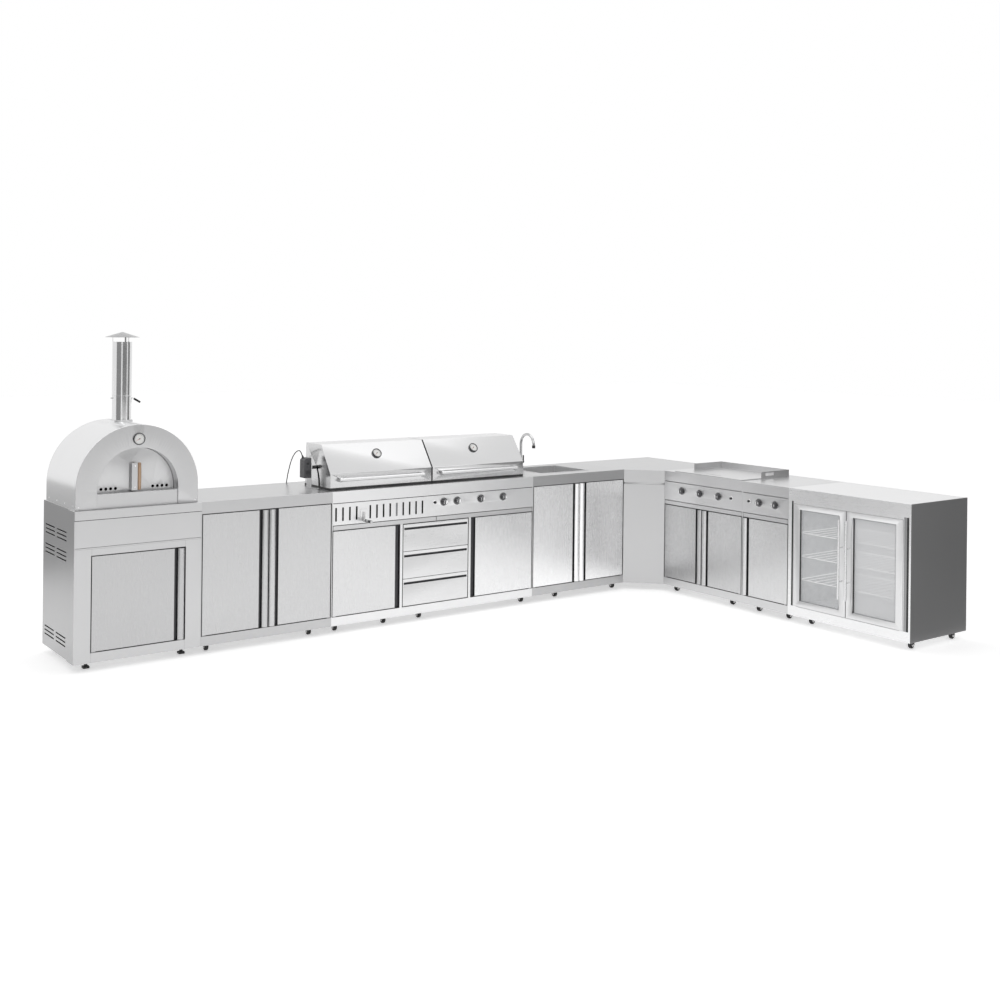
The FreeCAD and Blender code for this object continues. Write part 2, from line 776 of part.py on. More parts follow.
slot_first = size("charcoal_slot_first", 28)
slot_pitch = size("charcoal_slot_pitch", 51.2)
slot_width = size("charcoal_slot_width", 12)
slot_height = size("charcoal_slot_height", 88)
slot_rise = size("charcoal_slot_rise", 26)
SLOTS = 14
CRANK_SLOT = 4
knob_drop = size("grill_knob_drop", 46)
GRILL_KNOBS = [
    size("grill_knob_1_offset", 867),
    size("grill_knob_2_offset", 978),
    size("grill_knob_3_offset", 1181),
    size("grill_knob_4_offset", 1376),
]
grill_button_x = grill_left + size("grill_button_offset", 794)
grill_knob_z = panel_top - knob_drop

drip_length = size("drip_slot_length", 200)
drip_width = size("drip_slot_width", 14)


def drip_slot(x0, x1, y0, y1, floor):
    """The slot in a firebox floor that lets fat fall into the tray below."""
    middle, centre = (x0 + x1) / 2, (y0 + y1) / 2
    return block(
        middle - drip_length / 2, middle + drip_length / 2, centre - drip_width / 2, centre + drip_width / 2,
        floor - 2 * skin, floor + skin
    )


# Gas: one manifold behind the panel, a valve behind each knob and straight tube burners
manifold_setback = size("manifold_setback", 45)
manifold_half = size("manifold_half_width", 9)
valve_half = size("valve_half_width", 11)
valve_gap = size("valve_gap", 0.5)
tube_radius = size("tube_burner_radius", 14)
TUBE_FLATS = 12
valve_start = shaft_length - bezel_thick - seat + valve_gap


def gas_row(start, end, height, knobs, tubes, tube_end):
    """A square manifold, valve blocks and tube burners welded into one rail."""
    rail = block(
        start, end, manifold_setback - manifold_half, manifold_setback + manifold_half, height - manifold_half,
        height + manifold_half
    )
    valves = [
        block(
            x - valve_half, x + valve_half, valve_start, manifold_setback, height - valve_half, height + valve_half
        )
        for x in knobs
    ]
    burners = [
        many_sided("y", x, manifold_setback, height, tube_radius, tube_end - manifold_setback, TUBE_FLATS)
        for x in tubes
    ]
    return fuse(rail, *valves, *burners)


def tube_hole(x, height, wall_start):
    """The square hole in a firebox front wall that a tube burner passes through."""
    half = tube_radius + seat
    return block(x - half, x + half, wall_start - skin, wall_start + 2 * skin, height - half, height + half)


cabinet, pockets = cooker_carcass(grill_left, grill_right, grill_bays)
wells = []
well_rooms = []
rims = []
ledges = []
for start in (left_hood_start, right_hood_start):
    x0, x1 = start + well_side, start + hood_width - well_side
    wells.append(block(x0 - skin, x1 + skin, well_y0 - skin, well_y1 + skin, well_floor - skin, top_height))
    well_rooms.append(block(x0, x1, well_y0, well_y1, well_floor, hood_bottom))
    rims.append(block(start, start + hood_width, hood_front, hood_back, top_height, hood_bottom - seat))
    well_rooms.append(drip_slot(x0, x1, well_y0, well_y1, well_floor))
    ledges.append(block(x0, x1, well_y0, well_y0 + ledge, grate_seat - ledge, grate_seat))
    ledges.append(block(x0, x1, well_y1 - ledge, well_y1, grate_seat - ledge, grate_seat))
slots = []
for place in range(SLOTS):
    if place != CRANK_SLOT:
        slot_x = grill_left + slot_first + slot_pitch * place
        slots.append(
            block(
                slot_x - slot_width / 2, slot_x + slot_width / 2, -skin, 2 * skin, panel_bottom + slot_rise,
                panel_bottom + slot_rise + slot_height
            )
        )
crank_x = grill_left + slot_first + slot_pitch * CRANK_SLOT
crank_z = panel_bottom + size("crank_rise", 66)
crank_plate_half = size("crank_plate_half_width", 26)
crank_plate_thick = size("crank_plate_thickness", 4)
crank_radius = size("crank_shaft_radius", 5)
crank_plate = block(
    crank_x - crank_plate_half, crank_x + crank_plate_half, -crank_plate_thick, 0,
    crank_z - crank_plate_half, crank_z + crank_plate_half
)
bores = [shaft_bore(crank_x, crank_z, crank_radius + seat), shaft_bore(grill_button_x, grill_knob_z, button_hole)]
bezels = []
GRILL_TUBES = 4
tube_pitch = (hood_width - 2 * well_side) / GRILL_TUBES
grill_tube_x = [right_hood_start + well_side + tube_pitch * (count + 0.5) for count in range(GRILL_TUBES)]
for x in grill_tube_x:
    bores.append(tube_hole(x, grill_knob_z, well_y0 - skin))
for offset in GRILL_KNOBS:
    bores.append(stem_hole(grill_left + offset, grill_knob_z))
    bezels.append(bezel(grill_left + offset, grill_knob_z))

drawer_pitch = (low_door_top - door_bottom + reveal) / 3
drawer_height = drawer_pitch - reveal
runner_length = size("drawer_runner_length", 480)
runner_width = size("drawer_runner_width", 12)
runner_height = size("drawer_runner_height", 6)
drawer_side_gap = size("drawer_side_gap", 8)
drawer_floor_rise = size("drawer_floor_rise", 14)
runners = []
for level in range(3):
    runner_top = door_bottom + drawer_pitch * level + drawer_floor_rise - seat
    for x0 in (bay_left, bay_right - runner_width):
        runners.append(
            block(x0, x0 + runner_width, door_thick + wall, runner_length, runner_top - runner_height, runner_top)
        )

spit_y = size("spit_setback", 250)
spit_z = top_height + size("spit_height", 138)
spit_radius = size("spit_radius", 5)
spit_clear = size("spit_slot_clearance", 6)
motor_gap = size("motor_plate_gap", 56)
motor_plate_half = size("motor_plate_half_width", 34)
spit_post_inset = size("spit_post_inset", 16)
spit_post_half = size("spit_post_half_width", 12)
plate_x = left_hood_start - motor_gap
motor_plate = block(
    plate_x, plate_x + skin, spit_y - motor_plate_half, spit_y + motor_plate_half, top_height, spit_z + motor_plate_half
)
motor_foot = block(
    plate_x, left_hood_start, spit_y - motor_plate_half, spit_y + motor_plate_half, top_height, top_height + skin
)
motor_bore = rod("x", plate_x - skin, spit_y, spit_z, spit_radius + seat, 3 * skin)
post_x = left_hood_start + hood_width - spit_post_inset
spit_post = block(
    post_x, post_x + skin, spit_y - spit_post_half, spit_y + spit_post_half, top_height, spit_z + spit_radius
)
post_notch = block(
    post_x - skin, post_x + 2 * skin, spit_y - spit_radius - seat, spit_y + spit_radius + seat,
    spit_z - spit_radius - seat, spit_z + 2 * spit_radius
)
coal_side_gap = size("coal_tray_side_gap", 12)
coal_rise = size("coal_tray_rise", 34)
coal_bottom = well_floor + coal_rise
coal_seats = []
for x0 in (
    left_hood_start + well_side,
    left_hood_start + hood_width - well_side - coal_side_gap - ledge,
):
    coal_seats.append(
        block(x0, x0 + coal_side_gap + ledge, well_y0, well_y1, coal_bottom - seat - wall, coal_bottom - seat)
    )
grill_pads = [pivot_pad(grill_hinges[0], 1, door_bottom), pivot_pad(grill_hinges[1], -1, door_bottom)]
grill_shell = cut(fuse(cut(cabinet, *pockets), *wells, *rims, *bezels, crank_plate), *well_rooms, *slots, *bores)
sub_part(
    "grill_cabinet",
    fuse(
        grill_shell, *ledges, *runners, *coal_seats, *grill_pads, cut(motor_plate, motor_bore), motor_foot,
        cut(spit_post, post_notch)
    ),
)
for count, offset in enumerate(GRILL_KNOBS):
    knob(f"grill_knob_{count + 1}", grill_left + offset, grill_knob_z)
button("grill_button", grill_button_x, grill_knob_z)
drip_tray("grill_left_drip_tray", grill_left + wall + reveal, grill_middle - reveal / 2)
drip_tray("grill_right_drip_tray", grill_middle + reveal / 2, grill_right - wall - reveal)
flush_door("grill_left_door", grill_hinges[0], bay_left - divider - reveal, door_bottom, low_door_top)
flush_door("grill_right_door", grill_hinges[1], bay_right + divider + reveal, door_bottom, low_door_top)

# Drawers: a lipped front with a full-width finger groove, and an open-topped box on runners
lip_height = size("drawer_lip_height", 22)
groove_high = size("drawer_groove_height", 15)
groove_deep = size("drawer_groove_depth", 12)
groove_end = size("drawer_groove_end", 8)
box_drop = size("drawer_box_drop", 45)
box_skin = size("drawer_box_skin", 2)
for level, label in enumerate(("bottom_drawer", "middle_drawer", "top_drawer")):
    bottom = door_bottom + drawer_pitch * level
    top = bottom + drawer_height
    front = block(bay_left + reveal, bay_right - reveal, 0, door_thick, bottom, top)
    groove = block(
        bay_left + reveal + groove_end, bay_right - reveal - groove_end, -skin, groove_deep,
        top - lip_height - groove_high, top - lip_height
    )
    x0, x1 = bay_left + drawer_side_gap, bay_right - drawer_side_gap
    floor = bottom + drawer_floor_rise
    box = block(x0, x1, door_thick, runner_length, floor, top - box_drop)
    room = block(x0 + box_skin, x1 - box_skin, door_thick, runner_length - box_skin, floor + box_skin, top)
    sub_part(label, fuse(cut(front, groove), cut(box, room)))

# Hoods: folded shells with a slanted face, a band with a tube handle and a thermometer
handle_left = size("hood_handle_left_margin", 52)
handle_right = size("hood_handle_right_margin", 80)
handle_radius = size("hood_handle_radius", 11)
handle_stand = size("hood_handle_standoff", 34)
handle_rise = size("hood_handle_rise", 55)
bracket_width = size("hood_handle_bracket_width", 22)
bracket_half = size("hood_handle_bracket_half_height", 14)
dial_radius = size("hood_gauge_radius", 34)
dial_thick = size("hood_gauge_thickness", 12)
dial_along = size("hood_gauge_share_up_the_slope", 0.6)
hood_outline = [
    (hood_front, hood_bottom),
    (hood_front, hood_shoulder),
    (hood_front + hood_run, hood_top),
    (hood_back - hood_back_lean, hood_top),
    (hood_back, hood_bottom),
]
hood_inside = [
    (hood_front + skin, hood_bottom - skin),
    (hood_front + skin, hood_shoulder - skin / 3),
    (hood_front + hood_run + skin / 2, hood_top - skin),
    (hood_back - hood_back_lean - skin, hood_top - skin),
    (hood_back - skin, hood_bottom - skin),
]
spit_swing = diagonal(hood_back - spit_y, spit_z - hood_bottom)
slot_half = spit_radius + spit_clear
slot_top = spit_z + slot_half
slot_levels = [spit_z, (2 * spit_z + hood_bottom) / 3, (spit_z + 2 * hood_bottom) / 3, hood_bottom - skin]
slot_line = [hood_back - side_of(spit_swing, level - hood_bottom) for level in slot_levels]
spit_slot = [(spit_y - slot_half, slot_top)]
spit_slot += [(y - slot_half, level) for y, level in zip(slot_line[1:], slot_levels[1:])]
spit_slot += [(y + slot_half, level) for y, level in reversed(list(zip(slot_line[1:], slot_levels[1:])))]
spit_slot.append((spit_y + slot_half, slot_top))
slope_angle = Size(
    math.degrees(math.atan(number(hood_rise) / number(hood_run))), f"atan({hood_rise.text} / {hood_run.text})"
)


def hood(label, start, with_slot):
    """One hood; the outline is pushed along the wing and its inside is taken out."""
    end = start + hood_width
    shell = cut(
        extruded("YZ_Plane", hood_outline, start, hood_width),
        extruded("YZ_Plane", hood_inside, start + skin, hood_width - 2 * skin),
    )
    if with_slot:
        shell = cut(shell, extruded("YZ_Plane", spit_slot, start - skin, 3 * skin))
    handle_y = hood_front - handle_stand
    handle_z = hood_bottom + handle_rise
    tube = rod(
        "x", start + handle_left, handle_y, handle_z, handle_radius, hood_width - handle_left - handle_right
    )
    brackets = [
        block(x0, x0 + bracket_width, handle_y, hood_front, handle_z - bracket_half, handle_z + bracket_half)
        for x0 in (start + handle_left, end - handle_right - bracket_width)
    ]
    dial = rod("z", 0, 0, 0, dial_radius, dial_thick)
    dial.Placement = FreeCAD.Placement(FreeCAD.Vector(), FreeCAD.Rotation(FreeCAD.Vector(1, 0, 0), 54))
    bind(dial, "Placement.Rotation.Angle", slope_angle)
    at(dial, start + hood_width / 2, hood_front + hood_run * dial_along, hood_shoulder + hood_rise * dial_along)
    return sub_part(label, together(fuse(shell, tube, *brackets), dial))


hood("left_hood", left_hood_start, True)
hood("right_hood", right_hood_start, False)

# Rotisserie: motor on its plate, and the spit with its hand knob
motor_width = size("motor_width", 72)
motor_depth = size("motor_depth", 70)
motor_height = size("motor_height", 132)
motor_chamfer = size("motor_chamfer", 16)
relief_length = size("strain_relief_length", 26)
relief_radius = size("strain_relief_radius", 6)
relief_sink = size("strain_relief_sink", 6)
relief_tilt = size("strain_relief_tilt", 40)
relief_setback = size("strain_relief_setback", 12)
cord_radius = size("cord_radius", 3.25)
motor_top = spit_z + motor_height / 2
motor_bottom = spit_z - motor_height / 2
motor_left = plate_x - motor_width
motor_body = extruded(
    "XZ_Plane",
    [
        (motor_left, motor_bottom),
        (plate_x, motor_bottom),
        (plate_x, motor_top),
        (motor_left + motor_chamfer, motor_top),
        (motor_left, motor_top - motor_chamfer),
    ],
    -(spit_y + motor_depth / 2),
    motor_depth,
)
relief_x = plate_x - motor_width / 2
relief_y = spit_y + relief_setback
CORD_FLATS = 6
RELIEF_FLATS = 10
relief = many_sided(
    "z", relief_x, relief_y, motor_top - relief_sink, relief_radius, relief_length, RELIEF_FLATS
)
relief.Placement = FreeCAD.Placement(
    FreeCAD.Vector(), FreeCAD.Rotation(FreeCAD.Vector(1, 0, 0), -number(relief_tilt))
)
bind(relief, "Placement.Rotation.Angle", -relief_tilt)
at(relief, relief_x, relief_y, motor_top - relief_sink)
sub_part("rotisserie_motor", fuse(motor_body, relief))

hand_radius = size("spit_hand_radius", 12)
hand_length = size("spit_hand_length", 26)
hand_gap = size("spit_hand_gap", 24)
fork_offset = size("spit_fork_offset", 230)
fork_reach = size("spit_fork_reach", 46)
fork_thick = size("spit_fork_thickness", 8)
tine_length = size("spit_tine_length", 90)
spit_start = plate_x + seat
spit_length = post_x + 2 * skin - spit_start
SPIT_FLATS = 6
HAND_FLATS = 12
spit = many_sided("x", spit_start, spit_y, spit_z, spit_radius, spit_length, SPIT_FLATS)
hand = many_sided("x", spit_start + hand_gap, spit_y, spit_z, hand_radius, hand_length, HAND_FLATS)
forks = []
for fork_x, sense in ((left_hood_start + fork_offset, 1), (post_x - fork_offset, -1)):
    forks.append(
        block(
            fork_x, fork_x + fork_thick, spit_y - fork_thick, spit_y + fork_thick, spit_z - fork_reach, spit_z + fork_reach
        )
    )
    tine_start = fork_x if sense > 0 else fork_x + fork_thick - tine_length
    for tine_z in (spit_z - fork_reach, spit_z + fork_reach - fork_thick):
        forks.append(
            block(
                tine_start, tine_start + tine_length, spit_y - fork_thick / 2, spit_y + fork_thick / 2, tine_z,
                tine_z + fork_thick
            )
        )
sub_part("spit_rod", fuse(spit, hand, *forks))

# Charcoal side: the crank and the coal tray it lifts
crank_arm = size("crank_arm_length", 55)
crank_arm_half = size("crank_arm_half_width", 8)
crank_arm_thick = size("crank_arm_thickness", 6)
crank_grip_radius = size("crank_grip_radius", 10)
crank_grip_length = size("crank_grip_length", 95)
crank_shaft_length = size("crank_shaft_length", 40)
crank_face = -crank_plate_thick - seat
crank_shaft = rod("y", crank_x, crank_face - crank_arm_thick, crank_z, crank_radius, crank_shaft_length)
arm = block(
    crank_x - crank_arm_half, crank_x + crank_arm_half, crank_face - crank_arm_thick, crank_face,
    crank_z - crank_arm, crank_z + crank_arm_half
)
crank_grip = many_sided(
    "y", crank_x, crank_face - crank_arm_thick - crank_grip_length, crank_z - crank_arm + crank_arm_half,
    crank_grip_radius, crank_grip_length + crank_arm_thick, HAND_FLATS
)
sub_part("charcoal_crank", fuse(crank_shaft, arm, crank_grip))

coal_height = size("coal_tray_height", 55)
coal_slot = size("coal_tray_slot", 10)
coal_pitch = size("coal_tray_slot_pitch", 60)
COAL_SLOTS = 9
coal_x0 = left_hood_start + well_side + coal_side_gap
coal_x1 = left_hood_start + hood_width - well_side - coal_side_gap
coal_y0 = well_y0 + coal_side_gap
coal_y1 = well_y1 - coal_side_gap
coal_box = cut(
    block(coal_x0, coal_x1, coal_y0, coal_y1, coal_bottom, coal_bottom + coal_height),
    block(
        coal_x0 + skin, coal_x1 - skin, coal_y0 + skin, coal_y1 - skin, coal_bottom + skin, coal_bottom + 2 * coal_height
    ),
)
coal_middle = (coal_x0 + coal_x1) / 2
coal_vents = [
    block(
        coal_middle + coal_pitch * (count - (COAL_SLOTS - 1) / 2) - coal_slot / 2,
        coal_middle + coal_pitch * (count - (COAL_SLOTS - 1) / 2) + coal_slot / 2,
        coal_y0 + 4 * coal_side_gap, coal_y1 - 4 * coal_side_gap, coal_bottom - skin, coal_bottom + 2 * skin
    )
    for count in range(COAL_SLOTS)
]
sub_part("charcoal_tray", cut(coal_box, *coal_vents))

# Cooking grates: two cast panels over each firebox
grate_thick = size("grate_thickness", 10)
grate_gap = size("grate_gap", 3)
bar_gap = size("grate_bar_gap", 16)
bar_pitch = size("grate_bar_pitch", 34)
grate_border = size("grate_border", 18)
GRATE_GAPS = 9
grates = []
for start in (left_hood_start, right_hood_start):
    x0, x1 = start + well_side + grate_gap, start + hood_width - well_side - grate_gap
    middle = (x0 + x1) / 2
    for left, right in ((x0, middle - grate_gap / 2), (middle + grate_gap / 2, x1)):
        centre = (left + right) / 2
        gaps = [
            block(
                centre + bar_pitch * (count - (GRATE_GAPS - 1) / 2) - bar_gap / 2,
                centre + bar_pitch * (count - (GRATE_GAPS - 1) / 2) + bar_gap / 2,
                well_y0 + grate_border, well_y1 - grate_border, grate_seat - skin, grate_seat + grate_thick + skin
            )
            for count in range(GRATE_GAPS)
        ]
        panel = block(left, right, well_y0 + grate_gap, well_y1 - grate_gap, grate_seat, grate_seat + grate_thick)
        grates.append(cut(panel, *gaps))

grill_gas = gas_row(
    right_hood_start + well_side, grill_right - wall - seat, grill_knob_z,
    [grill_left + offset for offset in GRILL_KNOBS], grill_tube_x, well_y1 - seat
)

# Griddle module: a burner box under a plate that lies on the worktop
griddle_left = corner_cut
griddle_right = burner_left
griddle_hinges = (griddle_left + wall + reveal, griddle_right - wall - reveal)
griddle_middle = (griddle_left + griddle_right) / 2
short_knob_drop = size("short_wing_knob_drop", 56)
short_knob_z = panel_top - short_knob_drop
griddle_knob_x = [
    griddle_left + size("griddle_knob_1_offset", 187),
    griddle_left + size("griddle_knob_2_offset", 371),
    griddle_left + size("griddle_knob_3_offset", 557),
]
griddle_button_x = griddle_left + size("griddle_button_offset", 682)
plate_left = griddle_left + size("griddle_plate_left_margin", 90)
plate_right = griddle_right - size("griddle_plate_right_margin", 25)
plate_front = size("griddle_plate_front", 20)
plate_rear = size("griddle_plate_rear", 530)
plate_thick = size("griddle_plate_thickness", 6)
box_inset = size("griddle_box_inset", 28)
box_depth = size("griddle_box_depth", 175)
griddle_x0, griddle_x1 = plate_left + box_inset, plate_right - box_inset
griddle_y0, griddle_y1 = plate_front + 2 * box_inset, plate_rear - box_inset
griddle_floor = top_height - box_depth
cabinet, pockets = cooker_carcass(griddle_left, griddle_right, [(griddle_left + wall, griddle_right - wall)])
griddle_well = block(
    griddle_x0 - skin, griddle_x1 + skin, griddle_y0 - skin, griddle_y1 + skin, griddle_floor - skin, top_height
)
griddle_cuts = [
    block(griddle_x0, griddle_x1, griddle_y0, griddle_y1, griddle_floor, top_height + skin),
    drip_slot(griddle_x0, griddle_x1, griddle_y0, griddle_y1, griddle_floor),
    shaft_bore(griddle_button_x, short_knob_z, button_hole),
]
griddle_cuts += [stem_hole(x, short_knob_z) for x in griddle_knob_x]
griddle_cuts += [tube_hole(x, short_knob_z, griddle_y0 - skin) for x in griddle_knob_x]
griddle_welds = [bezel(x, short_knob_z) for x in griddle_knob_x]
griddle_pads = [pivot_pad(griddle_hinges[0], 1, door_bottom), pivot_pad(griddle_hinges[1], -1, door_bottom)]
griddle_module = fuse(
    cut(fuse(cut(cabinet, *pockets), griddle_well, *griddle_welds), *griddle_cuts), *griddle_pads
)
griddle_gas = gas_row(
    griddle_left + wall + seat, griddle_knob_x[2] + valve_half, short_knob_z, griddle_knob_x, griddle_knob_x,
    griddle_y1 - seat
)
griddle_bar = size("griddle_door_bar_width", 42)
for label, hinge, free in (
    ("griddle_left_door", griddle_hinges[0], griddle_middle - reveal),
    ("griddle_right_door", griddle_hinges[1], griddle_middle + reveal),
):
    bar_door(label, hinge, free, door_bottom, low_door_top, "short", griddle_bar)
for count, x in enumerate(griddle_knob_x):
    knob(f"griddle_knob_{count + 1}", x, short_knob_z, "short")
button("griddle_button", griddle_button_x, short_knob_z, "short")
drip_tray("griddle_drip_tray", griddle_left + wall + reveal, griddle_right - wall - reveal, "short")

# Griddle plate with its splash guard on three sides and a hand slot in the right-hand wall
guard_start = size("splash_guard_start", 225)
guard_height = size("splash_guard_height", 45)
slot_start = size("guard_slot_start", 270)
slot_end = size("guard_slot_end", 360)
slot_low = size("guard_slot_rise", 14)
slot_tall = size("guard_slot_height", 20)
grease_length = size("grease_slot_length", 160)
grease_width = size("grease_slot_width", 12)
plate_top = top_height + plate_thick
guard_top = plate_top + guard_height
griddle_slab = block(plate_left, plate_right, plate_front, plate_rear, top_height, plate_top)
guard = cut(
    block(plate_left, plate_right, guard_start, plate_rear, plate_top, guard_top),
    block(plate_left + skin, plate_right - skin, guard_start - skin, plate_rear - skin, plate_top - skin, guard_top + skin),
)
hand_slot = block(
    plate_right - 2 * skin, plate_right + skin, slot_start, slot_end, plate_top + slot_low,
    plate_top + slot_low + slot_tall
)
grease_middle = (plate_left + plate_right) / 2
grease_slot = block(
    grease_middle - grease_length / 2, grease_middle + grease_length / 2, griddle_y0 + skin,
    griddle_y0 + skin + grease_width, top_height - skin, plate_top + skin
)
sub_part("griddle_plate", cut(fuse(griddle_slab, guard), hand_slot, grease_slot), "short")

# Side burner module: a recess with a round burner and a pan support under a flush lid
burner_right = fridge_left
burner_hinge = burner_right - wall - reveal
burner_bar = size("burner_door_bar_width", 36)
burner_knob_x = [
    burner_left + size("burner_knob_1_offset", 155),
    burner_left + size("burner_knob_2_offset", 300),
]
burner_button_x = burner_left + size("burner_button_offset", 61)
recess_side = size("burner_recess_side_inset", 30)
recess_front = size("burner_recess_front", 60)
recess_rear = size("burner_recess_rear", 500)
recess_depth = size("burner_recess_depth", 95)
recess_wall = size("burner_recess_wall", 3)
lid_thick = size("burner_lid_thickness", 8)
lid_gap = size("burner_lid_gap", 2)
recess_x0, recess_x1 = burner_left + recess_side, burner_right - recess_side
recess_floor = top_height - recess_depth
recess_x, recess_y = (recess_x0 + recess_x1) / 2, (recess_front + recess_rear) / 2
riser_radius = size("burner_riser_radius", 7)
cabinet, pockets = cooker_carcass(burner_left, burner_right, [(burner_left + wall, burner_right - wall)])
recess_shell = block(
    recess_x0 - recess_wall, recess_x1 + recess_wall, recess_front - recess_wall, recess_rear + recess_wall,
    recess_floor - recess_wall, top_height
)
burner_cuts = [
    block(recess_x0, recess_x1, recess_front, recess_rear, recess_floor, top_height + skin),
    rod("z", recess_x, recess_y, recess_floor - 2 * recess_wall, riser_radius + seat, 3 * recess_wall),
    shaft_bore(burner_button_x, short_knob_z, button_hole),
]
burner_cuts += [stem_hole(x, short_knob_z) for x in burner_knob_x]
lid_ledges = [
    block(x0, x0 + ledge, recess_front, recess_rear, top_height - lid_thick - seat - wall, top_height - lid_thick - seat)
    for x0 in (recess_x0, recess_x1 - ledge)
]
burner_module = fuse(
    cut(fuse(cut(cabinet, *pockets), recess_shell, *[bezel(x, short_knob_z) for x in burner_knob_x]), *burner_cuts),
    *lid_ledges, pivot_pad(burner_hinge, -1, door_bottom)
)
sub_part("griddle_cabinet", together(griddle_module, burner_module), "short")
bar_door(
    "burner_door", burner_hinge, burner_left + wall + reveal, door_bottom, low_door_top, "short", burner_bar
)
for count, x in enumerate(burner_knob_x):
    knob(f"burner_knob_{count + 1}", x, short_knob_z, "short")
button("burner_button", burner_button_x, short_knob_z, "short")
drip_tray("burner_drip_tray", burner_left + wall + reveal, burner_right - wall - reveal, "short")
sub_part(
    "burner_lid",
    block(
        recess_x0 + lid_gap, recess_x1 - lid_gap, recess_front + lid_gap, recess_rear - lid_gap,
        top_height - lid_thick, top_height
    ),
    "short",
)

run_half = size("burner_run_half_width", 8)
HEAD_FLATS = 24
head_radius = size("burner_head_radius", 52)
head_height = size("burner_head_height", 22)
cap_width = size("burner_cap_radius", 38)
cap_height = size("burner_cap_height", 8)
support_reach = size("pan_support_reach", 130)
support_half = size("pan_support_half_width", 4)
support_rise = size("pan_support_rise", 44)
support_thick = size("pan_support_thickness", 10)
side_gas = fuse(
    gas_row(burner_knob_x[0] - valve_half, burner_right - wall - seat, short_knob_z, burner_knob_x, [], 0),
    block(
        recess_x - run_half, recess_x + run_half, manifold_setback, recess_y + run_half, short_knob_z - run_half,
        short_knob_z + run_half
    ),
    many_sided(
        "z", recess_x, recess_y, short_knob_z, riser_radius, recess_floor - short_knob_z + riser_radius, TUBE_FLATS
    ),
    many_sided("z", recess_x, recess_y, recess_floor + seat, head_radius, head_height, HEAD_FLATS),
    many_sided("z", recess_x, recess_y, recess_floor + head_height, cap_width, cap_height, HEAD_FLATS),
)
support_low = recess_floor + support_rise
support_bars = [
    block(
        recess_x - support_reach, recess_x + support_reach, recess_y - support_half, recess_y + support_half,
        support_low, support_low + support_thick
    ),
    block(
        recess_x - support_half, recess_x + support_half, recess_y - support_reach, recess_y + support_reach,
        support_low, support_low + support_thick
    ),
]
support_legs = []
for sense in (-1, 1):
    leg = recess_x + sense * (support_reach - support_half)
    support_legs.append(
        block(
            leg - support_half, leg + support_half, recess_y - support_half, recess_y + support_half, recess_floor,
            support_low
        )
    )
    leg = recess_y + sense * (support_reach - support_half)
    support_legs.append(
        block(
            recess_x - support_half, recess_x + support_half, leg - support_half, leg + support_half, recess_floor,
            support_low
        )
    )
pan_support = fuse(*support_bars, *support_legs)


def in_wing(items, wing):
    """Solids of one wing, turned into place inside a node that holds both wings."""
    group = together(*items)
    group.Placement = FreeCAD.Placement(FreeCAD.Vector(), WINGS[wing])
    return group


sub_part("gas_burners", together(grill_gas, in_wing([griddle_gas, side_gas], "short")))
sub_part("cooking_grates", together(*grates, in_wing([pan_support], "short")))

# Sink cabinet: the bowl is welded into the worktop, the tap stands behind it
sink_right = -corner_cut
sink_middle = (sink_left + sink_right) / 2
sink_hinges = (sink_left + wall + reveal, sink_right - wall - reveal)
bowl_x0 = sink_left + size("bowl_left_offset", 170)
bowl_x1 = sink_left + size("bowl_right_offset", 610)
bowl_y0 = size("bowl_front", 120)
bowl_y1 = size("bowl_rear", 500)
bowl_depth = size("bowl_depth", 190)
bowl_skin = size("bowl_skin", 2)
bowl_rim = size("bowl_rim_width", 14)
waste_radius = size("waste_radius", 45)
bowl_floor = top_height - bowl_depth
blank, hollows = carcass(sink_left, sink_right, edge_bottom)
bowl_outside = block(
    bowl_x0 - bowl_skin, bowl_x1 + bowl_skin, bowl_y0 - bowl_skin, bowl_y1 + bowl_skin, bowl_floor - bowl_skin, top_height
)
rim = block(
    bowl_x0 - bowl_rim, bowl_x1 + bowl_rim, bowl_y0 - bowl_rim, bowl_y1 + bowl_rim, top_height, top_height + bowl_skin
)
bowl_inside = block(bowl_x0, bowl_x1, bowl_y0, bowl_y1, bowl_floor, top_height + 2 * bowl_skin)
bowl_middle = (bowl_x0 + bowl_x1) / 2
waste = rod(
    "z", bowl_middle, (bowl_y0 + bowl_y1) / 2, bowl_floor - 2 * bowl_skin, waste_radius, 3 * bowl_skin
)
sink_pads = [pivot_pad(sink_hinges[0], 1, door_bottom), pivot_pad(sink_hinges[1], -1, door_bottom)]
sink_shell = fuse(cut(fuse(cut(blank, *hollows), bowl_outside, rim), bowl_inside, waste), *sink_pads)

tap_x = sink_left + size("tap_offset", 310)
tap_y = size("tap_setback", 552)
tap_foot_radius = size("tap_foot_radius", 25)
tap_foot_height = size("tap_foot_height", 6)
tap_column_radius = size("tap_column_radius", 15)
tap_column_height = size("tap_column_height", 62)
spout_radius = size("spout_radius", 11)
spout_reach = size("spout_reach", 160)
spout_spring = size("spout_spring_height", 180)
nozzle_radius = size("nozzle_radius", 13)
nozzle_length = size("nozzle_length", 22)
tap_body = fuse(
    rod("z", tap_x, tap_y, top_height, tap_foot_radius, tap_foot_height),
    rod("z", tap_x, tap_y, top_height, tap_column_radius, tap_column_height),
)
sub_part("sink_cabinet", together(sink_shell, tap_body))
bar_door("sink_left_door", sink_hinges[0], sink_middle - reveal / 2, door_bottom, tall_door_top)
bar_door("sink_right_door", sink_hinges[1], sink_middle + reveal / 2, door_bottom, tall_door_top)

